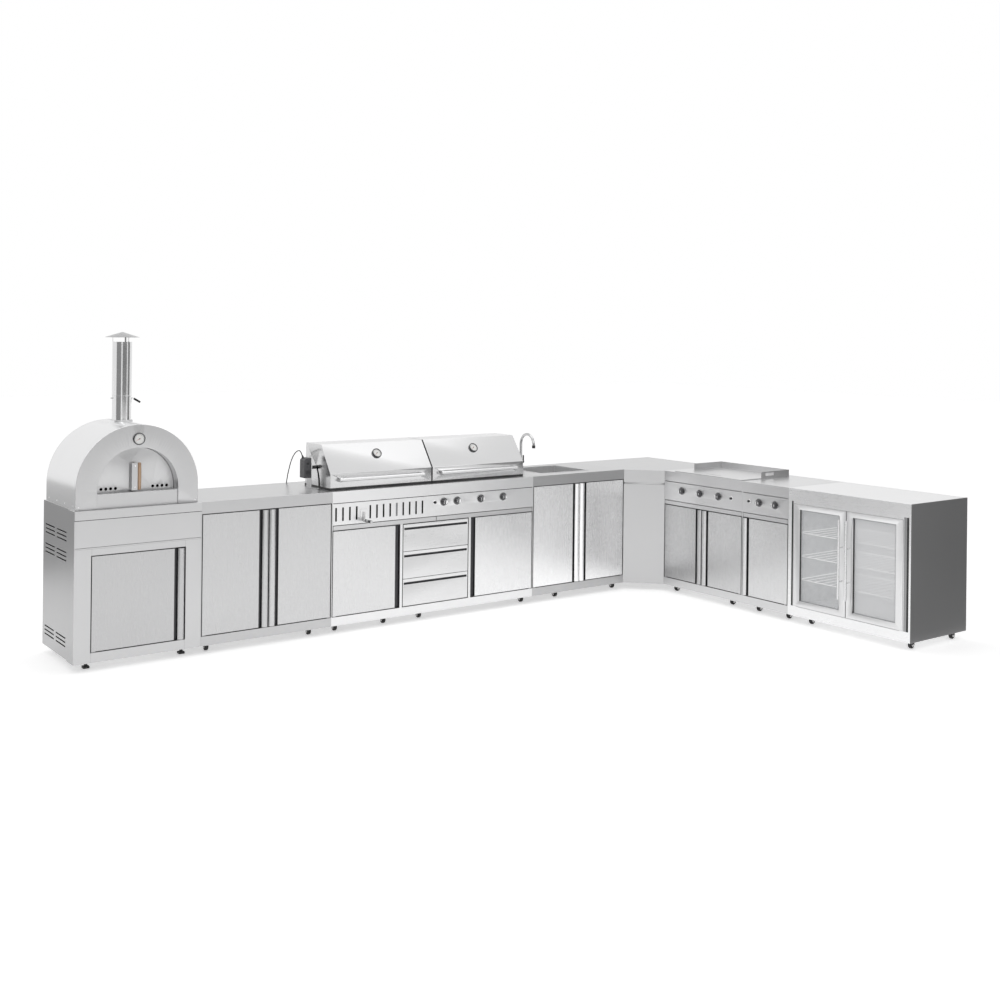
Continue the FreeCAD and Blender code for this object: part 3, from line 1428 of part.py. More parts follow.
SPOUT_FLATS = 12
spout_bottom = top_height + tap_column_height + seat
spout_stem = many_sided(
    "z", tap_x, tap_y, spout_bottom, spout_radius, top_height + spout_spring - spout_bottom, SPOUT_FLATS
)
SWAN_STEPS = 9
swan_line = doc.addObject("Part::RegularPolygon", "SwanLine")
swan_line.Polygon = 2 * SWAN_STEPS
bind(swan_line, "Circumradius", spout_reach / 2)
swan_ring = doc.addObject("Part::RegularPolygon", "SwanRing")
swan_ring.Polygon = SPOUT_FLATS
bind(swan_ring, "Circumradius", spout_radius)
swan_ring.Placement = FreeCAD.Placement(FreeCAD.Vector(), FreeCAD.Rotation(FreeCAD.Vector(1, 0, 0), -90))
bind(swan_ring, "Placement.Base.x", spout_reach / 2)
swan_sweep = doc.addObject("Part::Sweep", "Swan")
swan_sweep.Sections = [swan_ring]
swan_sweep.Spine = (swan_line, [f"Edge{step + 1}" for step in range(SWAN_STEPS)])
swan_sweep.Transition = "Right corner"
swan_sweep.Solid = True
swan = together(swan_sweep)
swan.Placement = FreeCAD.Placement(FreeCAD.Vector(), FreeCAD.Rotation(FreeCAD.Vector(1, 1, 1), 120))
at(swan, tap_x, tap_y - spout_reach / 2, top_height + spout_spring)
nozzle = many_sided(
    "z", tap_x, tap_y - spout_reach, top_height + spout_spring - nozzle_length, nozzle_radius, nozzle_length,
    SPOUT_FLATS
)
sub_part("tap_spout", fuse(spout_stem, swan, nozzle))

hub_radius = size("lever_hub_radius", 9)
hub_length = size("lever_hub_length", 14)
hub_height = size("lever_hub_height", 40)
blade_length = size("lever_blade_length", 52)
blade_half = size("lever_blade_half_width", 5)
lever_x = tap_x + tap_column_radius + seat
lever_z = top_height + hub_height
sub_part(
    "tap_lever",
    fuse(
        rod("x", lever_x, tap_y, lever_z, hub_radius, hub_length),
        block(
            lever_x + blade_half, lever_x + hub_length, tap_y - blade_half, tap_y + blade_half, lever_z,
            lever_z + blade_length
        ),
    ),
)

# Fridge: an insulated box with two glass doors, wire shelves on rails and a fan housing
fridge_wall = size("fridge_rear_wall", 45)
fridge_open_left = fridge_left + size("fridge_left_margin", 43)
fridge_open_right = fridge_right - size("fridge_right_margin", 55)
fridge_floor = size("fridge_floor_height", 115)
fridge_ceiling = top_height - size("fridge_ceiling_drop", 102)
fridge_roof = size("fridge_roof_thickness", 42)
glass_door_thick = size("glass_door_thickness", 30)
stile = size("glass_door_stile", 52)
rail_low = size("glass_door_bottom_rail", 40)
rail_high = size("glass_door_top_rail", 35)
pane_thick = size("glass_pane_thickness", 14)
door_gap = size("glass_door_gap", 6)
grip_drop = size("fridge_grip_drop", 55)
grip_lift = size("fridge_grip_lift", 118)
grip_off = size("fridge_grip_standoff", 40)
grip_thick = size("fridge_grip_radius", 8)
mount_low = size("fridge_low_mount", 235)
mount_high = size("fridge_high_mount", 458)
SHELVES = [size("low_shelf_height", 290), size("middle_shelf_height", 450), size("high_shelf_height", 610)]
shelf_wire = size("shelf_wire", 5)
shelf_front = size("shelf_front", 60)
shelf_rear = size("shelf_rear", 550)
shelf_rail = size("shelf_rail", 12)
WIRES = 15
fan_width = size("fan_housing_width", 190)
fan_depth = size("fan_housing_depth", 70)
fan_height = size("fan_housing_height", 95)
fan_radius = size("fan_radius", 32)
fan_sink = size("fan_recess", 12)
cavity_rear = depth - fridge_wall
fridge_blank = block(fridge_left, fridge_right, 0, depth, plinth_bottom, top_height)
fridge_cuts = [
    block(fridge_open_left, fridge_open_right, -wall, cavity_rear, fridge_floor, fridge_ceiling),
    block(
        fridge_left + wall, fridge_right - wall, wall, depth - wall, fridge_ceiling + fridge_roof, top_height - skin
    ),
    block(fridge_left + wall, fridge_right - wall, wall, depth - wall, 0, floor_bottom),
]
shelf_rails = []
for level in SHELVES:
    for x0 in (fridge_open_left, fridge_open_right - shelf_rail):
        shelf_rails.append(
            block(x0, x0 + shelf_rail, shelf_front, cavity_rear, level - seat - shelf_rail, level - seat)
        )
fan_housing = block(
    fridge_open_right - fan_width, fridge_open_right, cavity_rear - fan_depth, cavity_rear,
    fridge_ceiling - fan_height, fridge_ceiling
)
fan_recess = rod(
    "y", fridge_open_right - fan_width / 2, cavity_rear - fan_depth - skin, fridge_ceiling - fan_height / 2,
    fan_radius, fan_sink + skin
)
glass_door_bottom = fridge_floor + reveal
glass_door_top = fridge_ceiling - reveal
fridge_hinges = (fridge_open_left + reveal, fridge_open_right - reveal)
fridge_middle = (fridge_open_left + fridge_open_right) / 2
fridge_pads = [
    pivot_pad(fridge_hinges[0], 1, glass_door_bottom),
    pivot_pad(fridge_hinges[1], -1, glass_door_bottom),
]
sub_part(
    "fridge_cabinet",
    fuse(cut(fridge_blank, *fridge_cuts), cut(fan_housing, fan_recess), *shelf_rails, *fridge_pads),
    "short",
)
shelves = []
for level in SHELVES:
    x0, x1 = fridge_open_left + reveal, fridge_open_right - reveal
    wires = [
        block(x0, x1, y0, y0 + shelf_wire, level, level + shelf_wire)
        for y0 in (shelf_front, shelf_rear - shelf_wire)
    ]
    for count in range(WIRES):
        x = x0 + (x1 - x0 - shelf_wire) * count / (WIRES - 1)
        wires.append(block(x, x + shelf_wire, shelf_front, shelf_rear, level, level + shelf_wire))
    shelves.append(fuse(*wires))
sub_part("fridge_shelves", together(*shelves), "short")


BAR_FLATS = 12
MOUNT_FLATS = 8


def glass_door(side_name, hinge, free):
    """A framed door round one pane, with a bar grip on two mounts."""
    side = 1 if number(free) > number(hinge) else -1
    x0, x1 = (hinge, free) if side > 0 else (free, hinge)
    window = (x0 + stile, x1 - stile)
    low, high = glass_door_bottom + rail_low, glass_door_top - rail_high
    slab = block(x0, x1, 0, glass_door_thick, glass_door_bottom, glass_door_top)
    hole = block(*window, -skin, glass_door_thick + skin, low, high)
    x = free - side * stile / 2
    bar = many_sided(
        "z", x, -grip_off, glass_door_bottom + grip_lift, grip_thick,
        glass_door_top - grip_drop - glass_door_bottom - grip_lift, BAR_FLATS
    )
    mounts = [
        many_sided("y", x, -grip_off, glass_door_bottom + rise, grip_thick / 2, grip_off + skin, MOUNT_FLATS)
        for rise in (mount_low, mount_high)
    ]
    sub_part(f"fridge_{side_name}_door", fuse(cut(slab, hole), bar, *mounts), "short")
    pane_y = (glass_door_thick - pane_thick) / 2
    sub_part(f"fridge_{side_name}_glass", block(*window, pane_y, pane_y + pane_thick, low, high), "short")


glass_door("left", fridge_hinges[0], fridge_middle - door_gap / 2)
glass_door("right", fridge_hinges[1], fridge_middle + door_gap / 2)

# Castors, locked in line with the front, and the feet of the oven stand
wheel_radius = size("castor_wheel_radius", 25)
wheel_width = size("castor_wheel_width", 20)
cheek = size("castor_cheek", 4)
cheek_reach = size("castor_cheek_reach", 14)
crown_gap = size("castor_crown_gap", 3)
stem_half = size("castor_stem_half_width", 8)
castor_front = size("castor_front_setback", 85)
castor_rear = size("castor_rear_setback", 525)
foot_half = size("stand_foot_half_width", 18)
foot_height = size("stand_foot_height", 14)
WHEEL_FLATS = 12


def castor(x, y):
    """One castor: a wheel between two cheeks under a square stem that meets the floor pan."""
    half = wheel_width / 2
    crown = 2 * wheel_radius + crown_gap
    wheel = many_sided("x", x - half, y, wheel_radius, wheel_radius, wheel_width, WHEEL_FLATS)
    fork = cut(
        block(x - half - cheek, x + half + cheek, y - cheek_reach, y + cheek_reach, wheel_radius, crown + cheek),
        block(x - half, x + half, y - 2 * cheek_reach, y + 2 * cheek_reach, wheel_radius - cheek, crown),
    )
    stem = block(x - stem_half, x + stem_half, y - stem_half, y + stem_half, crown, floor_bottom)
    return fuse(wheel, fork, stem)


def foot(x, y):
    """A levelling foot on a square stem."""
    pad_block = block(x - foot_half, x + foot_half, y - foot_half, y + foot_half, 0, foot_height)
    stem = block(x - stem_half, x + stem_half, y - stem_half, y + stem_half, 0, floor_bottom)
    return fuse(pad_block, stem)


stand_feet = [
    foot(x, y)
    for x in (stand_left + size("stand_foot_left", 104), stand_right - size("stand_foot_right", 82))
    for y in (castor_front + cheek_reach, castor_rear)
]
storage_castors = (storage_left + size("storage_castor_left", 70), storage_right - size("storage_castor_right", 120))
grill_castors = (
    grill_left + size("grill_castor_left", 70),
    grill_left + size("grill_castor_second", 440),
    grill_left + size("grill_castor_third", 724),
    grill_right - size("grill_castor_right", 40),
)
sink_castors = (sink_left + size("sink_castor_left", 280), sink_right - size("sink_castor_right", 40))
long_wheels = [castor(x, y) for x in storage_castors + grill_castors + sink_castors for y in (castor_front, castor_rear)]
corner_wheel = size("corner_castor_setback", 90)
long_wheels += [castor(corner_wheel, corner_wheel), castor(castor_rear, castor_rear)]
griddle_castors = (griddle_left + size("griddle_castor_left", 62), griddle_right - size("griddle_castor_right", 157))
burner_castors = (burner_left + size("burner_castor_left", 96), burner_right - size("burner_castor_right", 55))
fridge_castors = (fridge_left + size("fridge_castor_left", 141), fridge_right - size("fridge_castor_right", 50))
short_wheels = [
    castor(x, y) for x in griddle_castors + burner_castors + fridge_castors for y in (castor_front, castor_rear)
]
sub_part("castors", together(*stand_feet, *long_wheels, in_wing(short_wheels, "short")))

# Motor lead: out of the strain relief, over the worktop's back edge and down to the floor
cord_points = [
    (-2831, 345, 1164),
    (-2824, 398, 1146),
    (-2815, 450, 1116),
    (-2805, 500, 1076),
    (-2794, 545, 1028),
    (-2784, 588, 975),
    (-2776, 622, 915),
    (-2770, 640, 845),
    (-2767, 650, 760),
    (-2765.5, 655, 668),
    (-2765, 657.5, 575),
    (-2765.5, 659.5, 482),
    (-2767, 662, 390),
    (-2769, 667, 300),
    (-2772, 676, 212),
    (-2777, 692, 132),
    (-2786, 720, 68),
    (-2805, 762, 26),
    (-2838, 795, 3.25),
    (-2879, 810.65, 3.25),
]
coil_centre = FreeCAD.Vector(-2920, 770, 0)
coil_radius = 37.0
coil_tail = 40.0
STEPS_PER_TURN = 24
TURNS_PER_LAYER = 1
exit_run = 35.0
turn_gap = size("coil_turn_gap", 0.8)
wire = number(cord_radius)
turn_step = 2 * wire + number(turn_gap)
lean = math.radians(number(relief_tilt))
exit_way = FreeCAD.Vector(0, math.sin(lean), math.cos(lean))
relief_foot = FreeCAD.Vector(number(relief_x), number(relief_y), number(motor_top - relief_sink))
exit_point = relief_foot + exit_way * number(relief_length)


def rounded(first, corner, last):
    """The arc between two points, tangent to their lines to a corner, and its radius."""
    back, ahead = first - corner, last - corner
    reach = back.Length
    half = back.getAngle(ahead) / 2
    inward = (back.normalize() + ahead.normalize()).normalize()
    middle = corner + inward * (reach / math.cos(half) - reach * math.tan(half))
    return Part.Arc(first, middle, last).toShape(), reach * math.tan(half)


def cord_path(points):
    """Straight runs joined by tangent arcs, and the radius of each arc."""
    edges = []
    radii = []
    start = points[0]
    for before, corner, after in zip(points, points[1:], points[2:]):
        back, ahead = before - corner, after - corner
        reach = 0.45 * min(back.Length, ahead.Length)
        first = corner + back.normalize() * reach
        last = corner + ahead.normalize() * reach
        arc, radius = rounded(first, corner, last)
        edges += [Part.LineSegment(start, first).toShape(), arc]
        radii.append(radius)
        start = last
    edges.append(Part.LineSegment(start, points[-1]).toShape())
    return Part.Wire(edges), radii


def biarc(start, way, end, far_way):
    """Two tangent arcs that leave one point in one direction and reach another in a second one."""
    chord = end - start
    along = chord.dot(way + far_way)
    spread = 2 * (1 - way.dot(far_way))
    reach = (math.sqrt(along * along + spread * chord.dot(chord)) - along) / spread
    first_corner, last_corner = start + way * reach, end - far_way * reach
    joint = (first_corner + last_corner) * 0.5
    return [rounded(start, first_corner, joint)[0], rounded(joint, last_corner, end)[0]]


def coil_place(turns):
    """A point of the coil's centre line: spiral in below, climb half a turn, spiral out above."""
    slope = turn_step / TURNS_PER_LAYER
    climb = min(max(turns - TURNS_PER_LAYER, 0), 0.5)
    inward = min(turns, TURNS_PER_LAYER) + climb - 2 * climb * climb
    outward = max(turns - TURNS_PER_LAYER - 0.5, 0)
    radius = coil_radius + turn_step / 2 - slope * (inward - outward)
    height = wire + turn_step * (1 - math.cos(2 * math.pi * climb)) / 2
    angle = math.pi / 2 + 2 * math.pi * turns
    return coil_centre + FreeCAD.Vector(radius * math.cos(angle), radius * math.sin(angle), height)


RIGHT_CORNER = 1


def tube(path, radius):
    """A tube with flats round it along a path."""
    edge = path.Edges[0]
    way = edge.tangentAt(edge.FirstParameter)
    start = edge.valueAt(edge.FirstParameter)
    side = FreeCAD.Vector(0, 0, 1).cross(way).normalize()
    lift = way.cross(side)
    turns = [2 * math.pi * flat / CORD_FLATS for flat in range(CORD_FLATS)]
    corners = [start + (side * math.cos(turn) + lift * math.sin(turn)) * radius for turn in turns]
    ring = Part.makePolygon(corners + corners[:1])
    return path.makePipeShell([ring], True, False, RIGHT_CORNER)


def soft_piece(label, shape):
    """A piece whose shape is worked out above, carried into the row frame."""
    item = doc.addObject("Part::Feature", label)
    item.Shape = shape
    return sub_part(label, item)


def section_length(radius, shape):
    """A tube's length as its volume says."""
    area = CORD_FLATS / 2 * radius * radius * math.sin(2 * math.pi / CORD_FLATS)
    return shape.Volume / area


coil_steps = int(STEPS_PER_TURN * (2 * TURNS_PER_LAYER + 0.5))
coil_nodes = [coil_place(step / STEPS_PER_TURN) for step in range(coil_steps + 1)]
coil_start = coil_nodes[0] + FreeCAD.Vector(2 * wire, 0, 0)
coil_end = coil_nodes[-1] + FreeCAD.Vector(coil_tail, 0, 0)
coil_wire = Part.makePolygon([coil_start, *coil_nodes, coil_end])

route = [exit_point, exit_point + exit_way * exit_run]
route += [FreeCAD.Vector(*point) for point in cord_points]
route.append(coil_start)
cord_wire, cord_radii = cord_path(route)
cord_tube = tube(cord_wire, wire)
coil_tube = tube(coil_wire, wire)
soft_piece("motor_cord", cord_tube)
soft_piece("cord_coil", coil_tube)

plug_height = 2 * coil_end.z
plug_neck = size("plug_neck_length", 14)
plug_neck_radius = size("plug_neck_radius", 6)
NECK_FLATS = 10
plug_length = size("plug_length", 34)
plug_width = size("plug_width", 28)
blade_pitch = size("plug_blade_pitch", 12.7)
plug_blade = size("plug_blade_length", 16)
blade_width = size("plug_blade_width", 6)
blade_thick = size("plug_blade_thickness", 1.5)
neck = many_sided("x", coil_end.x, coil_end.y, coil_end.z, plug_neck_radius, plug_neck, NECK_FLATS)
plug_start = coil_end.x + plug_neck
plug_body = block(
    plug_start, plug_start + plug_length, coil_end.y - plug_width / 2, coil_end.y + plug_width / 2, 0, plug_height
)
blades = [
    block(
        plug_start + plug_length, plug_start + plug_length + plug_blade,
        coil_end.y + blade_pitch * side - blade_thick / 2, coil_end.y + blade_pitch * side + blade_thick / 2,
        coil_end.z - blade_width / 2, coil_end.z + blade_width / 2
    )
    for side in (-0.5, 0.5)
]
sub_part("cord_plug", fuse(neck, plug_body, *blades))


def least_self_gap(path, radius, spacing):
    """The least clear distance between stretches of one tube that are not next to each other."""
    points = path.discretize(Distance=spacing)
    skip = int(6 * radius / spacing)
    nearest = min(
        points[first].distanceToPoint(points[second])
        for first in range(len(points))
        for second in range(first + skip, len(points))
    )
    return nearest - 2 * radius


doc.recompute()
faults = [item.Label for item in doc.Objects if "Invalid" in item.State or "Error" in item.State]
for item in sub_parts:
    if item.Shape.isNull() or not item.Shape.isValid() or not item.Shape.Solids:
        faults.append(item.Label)
if faults:
    raise ValueError("these objects failed: " + ", ".join(sorted(set(faults))))

print("cord arc radii", " ".join(f"{radius:.0f}" for radius in cord_radii))
print("cord length", round(cord_wire.Length), "by volume", round(section_length(wire, cord_tube)))
print("coil length", round(coil_wire.Length), "by volume", round(section_length(wire, coil_tube)))
print("coil least gap to itself", round(least_self_gap(coil_wire, wire, 1.0), 3))
for item in sub_parts:
    item.Shape.exportStep(f"parts/{item.Label}.step")
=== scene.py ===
# %% [markdown]
# # An outdoor kitchen in brushed steel
# The kitchen is an L of sheet metal modules. Its solids come in as a fixed frame, and this lesson dresses them:
# every panel gets a folded edge, a brushed or polished finish, and the small pieces that a cook sees and touches.

# %% Load the frame
import json
import math

import bmesh
import bpy
from mathutils import Matrix, Vector


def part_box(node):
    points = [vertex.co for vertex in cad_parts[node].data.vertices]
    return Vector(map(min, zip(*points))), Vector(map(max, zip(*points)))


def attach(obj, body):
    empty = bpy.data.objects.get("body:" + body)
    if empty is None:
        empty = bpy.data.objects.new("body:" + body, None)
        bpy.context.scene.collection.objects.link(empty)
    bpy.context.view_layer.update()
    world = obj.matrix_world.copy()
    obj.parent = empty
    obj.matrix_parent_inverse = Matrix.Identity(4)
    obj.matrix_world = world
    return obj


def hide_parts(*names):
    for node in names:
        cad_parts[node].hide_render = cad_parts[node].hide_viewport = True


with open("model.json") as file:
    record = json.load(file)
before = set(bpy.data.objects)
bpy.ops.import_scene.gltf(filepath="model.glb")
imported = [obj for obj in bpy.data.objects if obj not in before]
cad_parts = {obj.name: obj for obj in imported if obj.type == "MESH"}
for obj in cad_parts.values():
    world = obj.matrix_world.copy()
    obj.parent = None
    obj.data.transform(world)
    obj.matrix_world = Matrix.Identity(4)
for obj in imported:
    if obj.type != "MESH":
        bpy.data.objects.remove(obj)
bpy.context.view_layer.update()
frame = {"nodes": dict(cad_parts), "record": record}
scene = bpy.context.scene
body_of_node = {
    node: body for body, nodes in frame["record"]["behaviour"]["bodies"].items() for node in nodes
}

# %% [markdown]
# ## Camera
# The photograph was taken from head height, well to the left of the kitchen, with a level camera whose picture
# was shifted down. A shift keeps the uprights upright, which tilting the camera would not do.

# %% Camera
CAMERA_PLACE = Vector((-4.7055, -6.0667, 1.9551))
CAMERA_YAW = 0.6397
CAMERA_ROLL = -0.0111
SENSOR = 36.0
FOCAL_SHARE = 1.21983
SHIFT_DOWN = -0.16627

ahead = Vector((math.sin(CAMERA_YAW), math.cos(CAMERA_YAW), 0))
across = Vector((math.cos(CAMERA_YAW), -math.sin(CAMERA_YAW), 0))
upright = Vector((0, 0, 1))
lens_right = across * math.cos(CAMERA_ROLL) - upright * math.sin(CAMERA_ROLL)
lens_up = across * math.sin(CAMERA_ROLL) + upright * math.cos(CAMERA_ROLL)
camera = bpy.data.objects.new("camera", bpy.data.cameras.new("camera"))
scene.collection.objects.link(camera)
turn = Matrix((lens_right, lens_up, -ahead)).transposed()
camera.matrix_world = Matrix.Translation(CAMERA_PLACE) @ turn.to_4x4()
camera.data.sensor_width = SENSOR
camera.data.lens = SENSOR * FOCAL_SHARE
camera.data.shift_y = SHIFT_DOWN
camera.data.clip_end = 100
scene.camera = camera
print("lens", round(camera.data.lens, 1), "mm")

# %% [markdown]
# ## Node trees
# Every finish below is a small shader tree. A few helpers keep those trees short: one adds a node with its
# settings and inputs, and the others make the sums, ramps, noises and tints that come back in every finish.

# %% Shader helpers


def shader_tree(name):
    """A new material, its tree and its Principled shader."""
    material = bpy.data.materials.new(name)
    material.use_nodes = True
    return material, material.node_tree, material.node_tree.nodes["Principled BSDF"]


def feed(tree, node, inputs):
    """Fill inputs by name, or by number after an underscore: outputs are linked, values are stored."""
    for name, value in inputs.items():
        socket = node.inputs[int(name[1:])] if name[0] == "_" else node.inputs[name]
        if isinstance(value, bpy.types.NodeSocket):
            tree.links.new(value, socket)
        else:
            socket.default_value = value


def add_node(tree, kind, settings=(), **inputs):
    """One node with its settings and its inputs."""
    node = tree.nodes.new(kind)
    for name, value in dict(settings).items():
        setattr(node, name, value)
    feed(tree, node, inputs)
    return node


def maths(tree, operation, *terms):
    """One sum on numbers or sockets."""
    inputs = {f"_{k}": term for k, term in enumerate(terms)}
    return add_node(tree, "ShaderNodeMath", {"operation": operation}, **inputs).outputs[0]


def ramp(tree, factor, low, high, low_value, high_value):
    """A straight change from one number to another as the factor goes from low to high."""
    node = add_node(tree, "ShaderNodeMapRange", Value=factor)
    feed(tree, node, {"From Min": low, "From Max": high, "To Min": low_value, "To Max": high_value})
    return node.outputs["Result"]


def stretched_noise(tree, place, stretch, scale, detail=3.0):
    """Noise drawn out along one axis; a small number in stretch makes long streaks along that axis."""
    mapped = add_node(tree, "ShaderNodeMapping", Vector=place, Scale=stretch).outputs["Vector"]
    return add_node(tree, "ShaderNodeTexNoise", Vector=mapped, Scale=scale, Detail=detail).outputs["Fac"]


def tinted(tree, factor, dark, light):
    """A colour between two tones."""
    both = {"_6": (*dark, 1), "_7": (*light, 1)}
    return add_node(tree, "ShaderNodeMix", {"data_type": "RGBA"}, Factor=factor, **both).outputs[2]


def grey(tone, warmth=0.0):
    """A neutral colour, a little cooler or warmer."""
    return (tone + warmth, tone, tone - warmth + 0.004)


def object_place(tree):
    """Where a point lies on its own object."""
    return add_node(tree, "ShaderNodeTexCoord").outputs["Object"]


def bumped(tree, height, strength, depth):
    """The surface's direction, lifted and dented by a height."""
    return add_node(tree, "ShaderNodeBump", Strength=strength, Distance=depth, Height=height).outputs["Normal"]


# %% [markdown]
# ## Brushed steel
# A brushing belt leaves long fine scratches in one direction. The streaks are noise stretched along that
# direction. They change the roughness and lift the surface a little, so highlights draw out across them. The
# grain runs a different way on each side of a folded sheet, so the object's own normal picks between the noises.

# %% Brushed steel
FINE, LONG = 900.0, 3.0
GRAIN_ROUGH, GRAIN_LIFT, GRAIN_DEPTH = 0.010, 0.12, 0.00001
EVEN = (1, 1, 1)


def streaks_for(tree, place, way):
    """Streaks that run along one axis, named by its letter."""
    stretch = [LONG if letter == way else FINE for letter in "xyz"]
    return stretched_noise(tree, place, stretch, 1.0, 2.0)


def brushed_steel(name, tone, roughness, front_way, side_way, top_way=None):
    """Brushed sheet. The grain runs front_way on faces towards Y, side_way towards X and top_way towards Z."""
    material, tree, shader = shader_tree(name)
    where = add_node(tree, "ShaderNodeTexCoord")
    place = where.outputs["Object"]
    split = add_node(tree, "ShaderNodeSeparateXYZ", Vector=where.outputs["Normal"])
    grain = streaks_for(tree, place, front_way)
    for letter, way in (("X", side_way), ("Z", top_way)):
        if way:
            pick = ramp(tree, maths(tree, "ABSOLUTE", split.outputs[letter]), 0.6, 0.8, 0.0, 1.0)
            other = streaks_for(tree, place, way)
            grain = add_node(tree, "ShaderNodeMix", Factor=pick, _2=grain, _3=other).outputs[0]
    cloud = stretched_noise(tree, place, EVEN, 2.2, 4.0)
    handled = stretched_noise(tree, place, EVEN, 14.0, 5.0)
    rough = ramp(tree, grain, 0.3, 0.7, roughness - GRAIN_ROUGH, roughness + GRAIN_ROUGH)
    shade = ramp(tree, maths(tree, "MULTIPLY_ADD", grain, 0.5, cloud), 0.45, 1.05, 0.0, 1.0)
    feed(tree, shader, {
        "Base Color": tinted(tree, shade, grey(tone - 0.009), grey(tone + 0.008)),
        "Roughness": maths(tree, "ADD", rough, ramp(tree, handled, 0.3, 0.7, -0.005, 0.007)),
        "Normal": bumped(tree, grain, GRAIN_LIFT, GRAIN_DEPTH),
        "Metallic": 1.0,
    })
    return material


cabinet_steel = brushed_steel("cabinet_brushed_steel", 0.52, 0.30, "x", "y")
stand_steel = brushed_steel("stand_brushed_steel", 0.57, 0.33, "x", "z")
# Painted shade: a darker copy of the stand's steel for its left side.
stand_side_shade_steel = brushed_steel("stand_side_painted_shade_steel", 0.45, 0.33, "x", "z")
# Painted light: a lighter copy of the carcass steel for the grill's front.
grill_front_light_steel = brushed_steel("grill_front_painted_light_steel", 0.78, 0.30, "x", "y")
sink_steel = brushed_steel("sink_brushed_steel", 0.50, 0.30, "x", "y")
# Painted light: a lighter copy of the steel for the fridge's front and the sink's bowl.
front_and_bowl_light_steel = brushed_steel("fridge_front_and_bowl_painted_light_steel", 0.84, 0.28, "x", "y")
short_top_steel = brushed_steel("short_wing_brushed_steel", 0.64, 0.30, "x", "y", "y")
fridge_steel = brushed_steel("fridge_brushed_steel", 0.76, 0.30, "x", "y", "y")
hood_steel = brushed_steel("hood_brushed_steel", 0.65, 0.21, "x", "x")
oven_steel = brushed_steel("oven_brushed_steel", 0.58, 0.33, "x", "y")
# Painted light: a lighter copy of the oven's steel for its rolled roof, lit from above.
roof_light_steel = brushed_steel("oven_roof_steel", 0.78, 0.30, "y", "y")
# Painted shade: a darker copy of the steel for the fridge's end sheet; the stand's real seams and a channel strip by
# the fridge use it too.
end_shade_and_seam_steel = brushed_steel("end_panel_shade_and_seam_steel", 0.33, 0.34, "z", "z")
# Painted shade: a near-black copy of the steel for cut edges and finger grooves, as the shadow in the gaps.
gap_shade_steel = brushed_steel("gap_edge_steel", 0.07, 0.48, "x", "y")
drawer_steel = brushed_steel("drawer_brushed_steel", 0.72, 0.28, "x", "y")
tray_steel = brushed_steel("tray_brushed_steel", 0.6, 0.33, "x", "y")
bar_steel = brushed_steel("bar_brushed_steel", 0.70, 0.22, "z", "z")
print("brushed finishes", 16)

# %% [markdown]
# ## Polished metal, cast iron, plastic, rubber, wood and glass
# Each finish keeps one thing that gives it away: polished steel has faint wiping marks, cast iron is pitted,
# rubber is dusty, moulded plastic has a fine texture, and the oiled wooden grip has long rings.

# %% Other finishes


def polished_metal(name, tone, roughness, warmth=0.0):
    """Polished steel or chrome with faint wiping marks."""
    material, tree, shader = shader_tree(name)
    place = object_place(tree)
    wiping = stretched_noise(tree, place, (3, 3, 1), 30.0, 4.0)
    smudge = stretched_noise(tree, place, EVEN, 9.0, 3.0)
    marks = maths(tree, "ADD", wiping, smudge)
    feed(tree, shader, {
        "Base Color": tinted(tree, smudge, grey(tone - 0.03, warmth), grey(tone + 0.02, warmth)),
        "Roughness": ramp(tree, marks, 0.7, 1.3, roughness * 0.6, roughness * 1.6),
        "Metallic": 1.0,
    })
    return material


def pitted(name, dark, light, roughness, grain, depth, metallic=0.0, sheen=0.0):
    """A matt surface with a fine grain: cast iron, rubber or moulded plastic."""
    material, tree, shader = shader_tree(name)
    place = object_place(tree)
    fine = stretched_noise(tree, place, EVEN, grain, 3.0)
    broad = stretched_noise(tree, place, EVEN, grain * 0.04, 4.0)
    feed(tree, shader, {
        "Base Color": tinted(tree, ramp(tree, broad, 0.35, 0.65, 0, 1), dark, light),
        "Roughness": ramp(tree, fine, 0.3, 0.7, roughness - 0.08, roughness + 0.08),
        "Normal": bumped(tree, fine, 0.4, depth),
        "Metallic": metallic,
        "Sheen Weight": sheen,
    })
    return material


def glowing(material, strength):
    """Painted light: a finish that glows a little by itself, standing in for the light of a lamp inside the fridge.
    """
    shader = material.node_tree.nodes["Principled BSDF"]
    feed(material.node_tree, shader, {"Emission Color": (1, 1, 1, 1), "Emission Strength": strength})


chrome = polished_metal("chrome", 0.82, 0.07)
cap_polish = polished_metal("cap_polish", 0.40, 0.20)
# Dark chrome: on the knobs' sides it is painted shade, and it is also used for the dial rings and the crank sleeve.
dark_chrome_and_shade = polished_metal("dark_chrome_and_shade", 0.10, 0.14)
tap_chrome = polished_metal("tap_chrome", 0.52, 0.10)
flue_polish = polished_metal("flue_polish", 0.74, 0.10)
# Painted shade: the knob plates are polished steel painted dark.
knob_plate_shade = polished_metal("knob_plate_painted_shade", 0.20, 0.22)
wire_chrome = polished_metal("wire_chrome", 0.78, 0.12)
cast_iron = pitted("cast_iron", (0.012, 0.012, 0.013), (0.035, 0.033, 0.032), 0.55, 900.0, 0.0003, 0.3)
black_rubber = pitted("black_rubber", (0.012, 0.012, 0.012), (0.03, 0.03, 0.03), 0.62, 1400.0, 0.0001, 0.0, 0.1)
black_plastic = pitted("black_plastic", (0.010, 0.010, 0.011), (0.02, 0.02, 0.022), 0.42, 2200.0, 0.00006)
motor_shell = pitted("motor_shell", (0.055, 0.055, 0.06), (0.085, 0.085, 0.09), 0.38, 1600.0, 0.00008, 0.2)
rim_black = pitted("rim_black_enamel", (0.02, 0.02, 0.021), (0.045, 0.045, 0.046), 0.36, 700.0, 0.0001)
fire_lining = pitted("fire_lining", (0.09, 0.08, 0.07), (0.19, 0.17, 0.15), 0.85, 300.0, 0.0008)
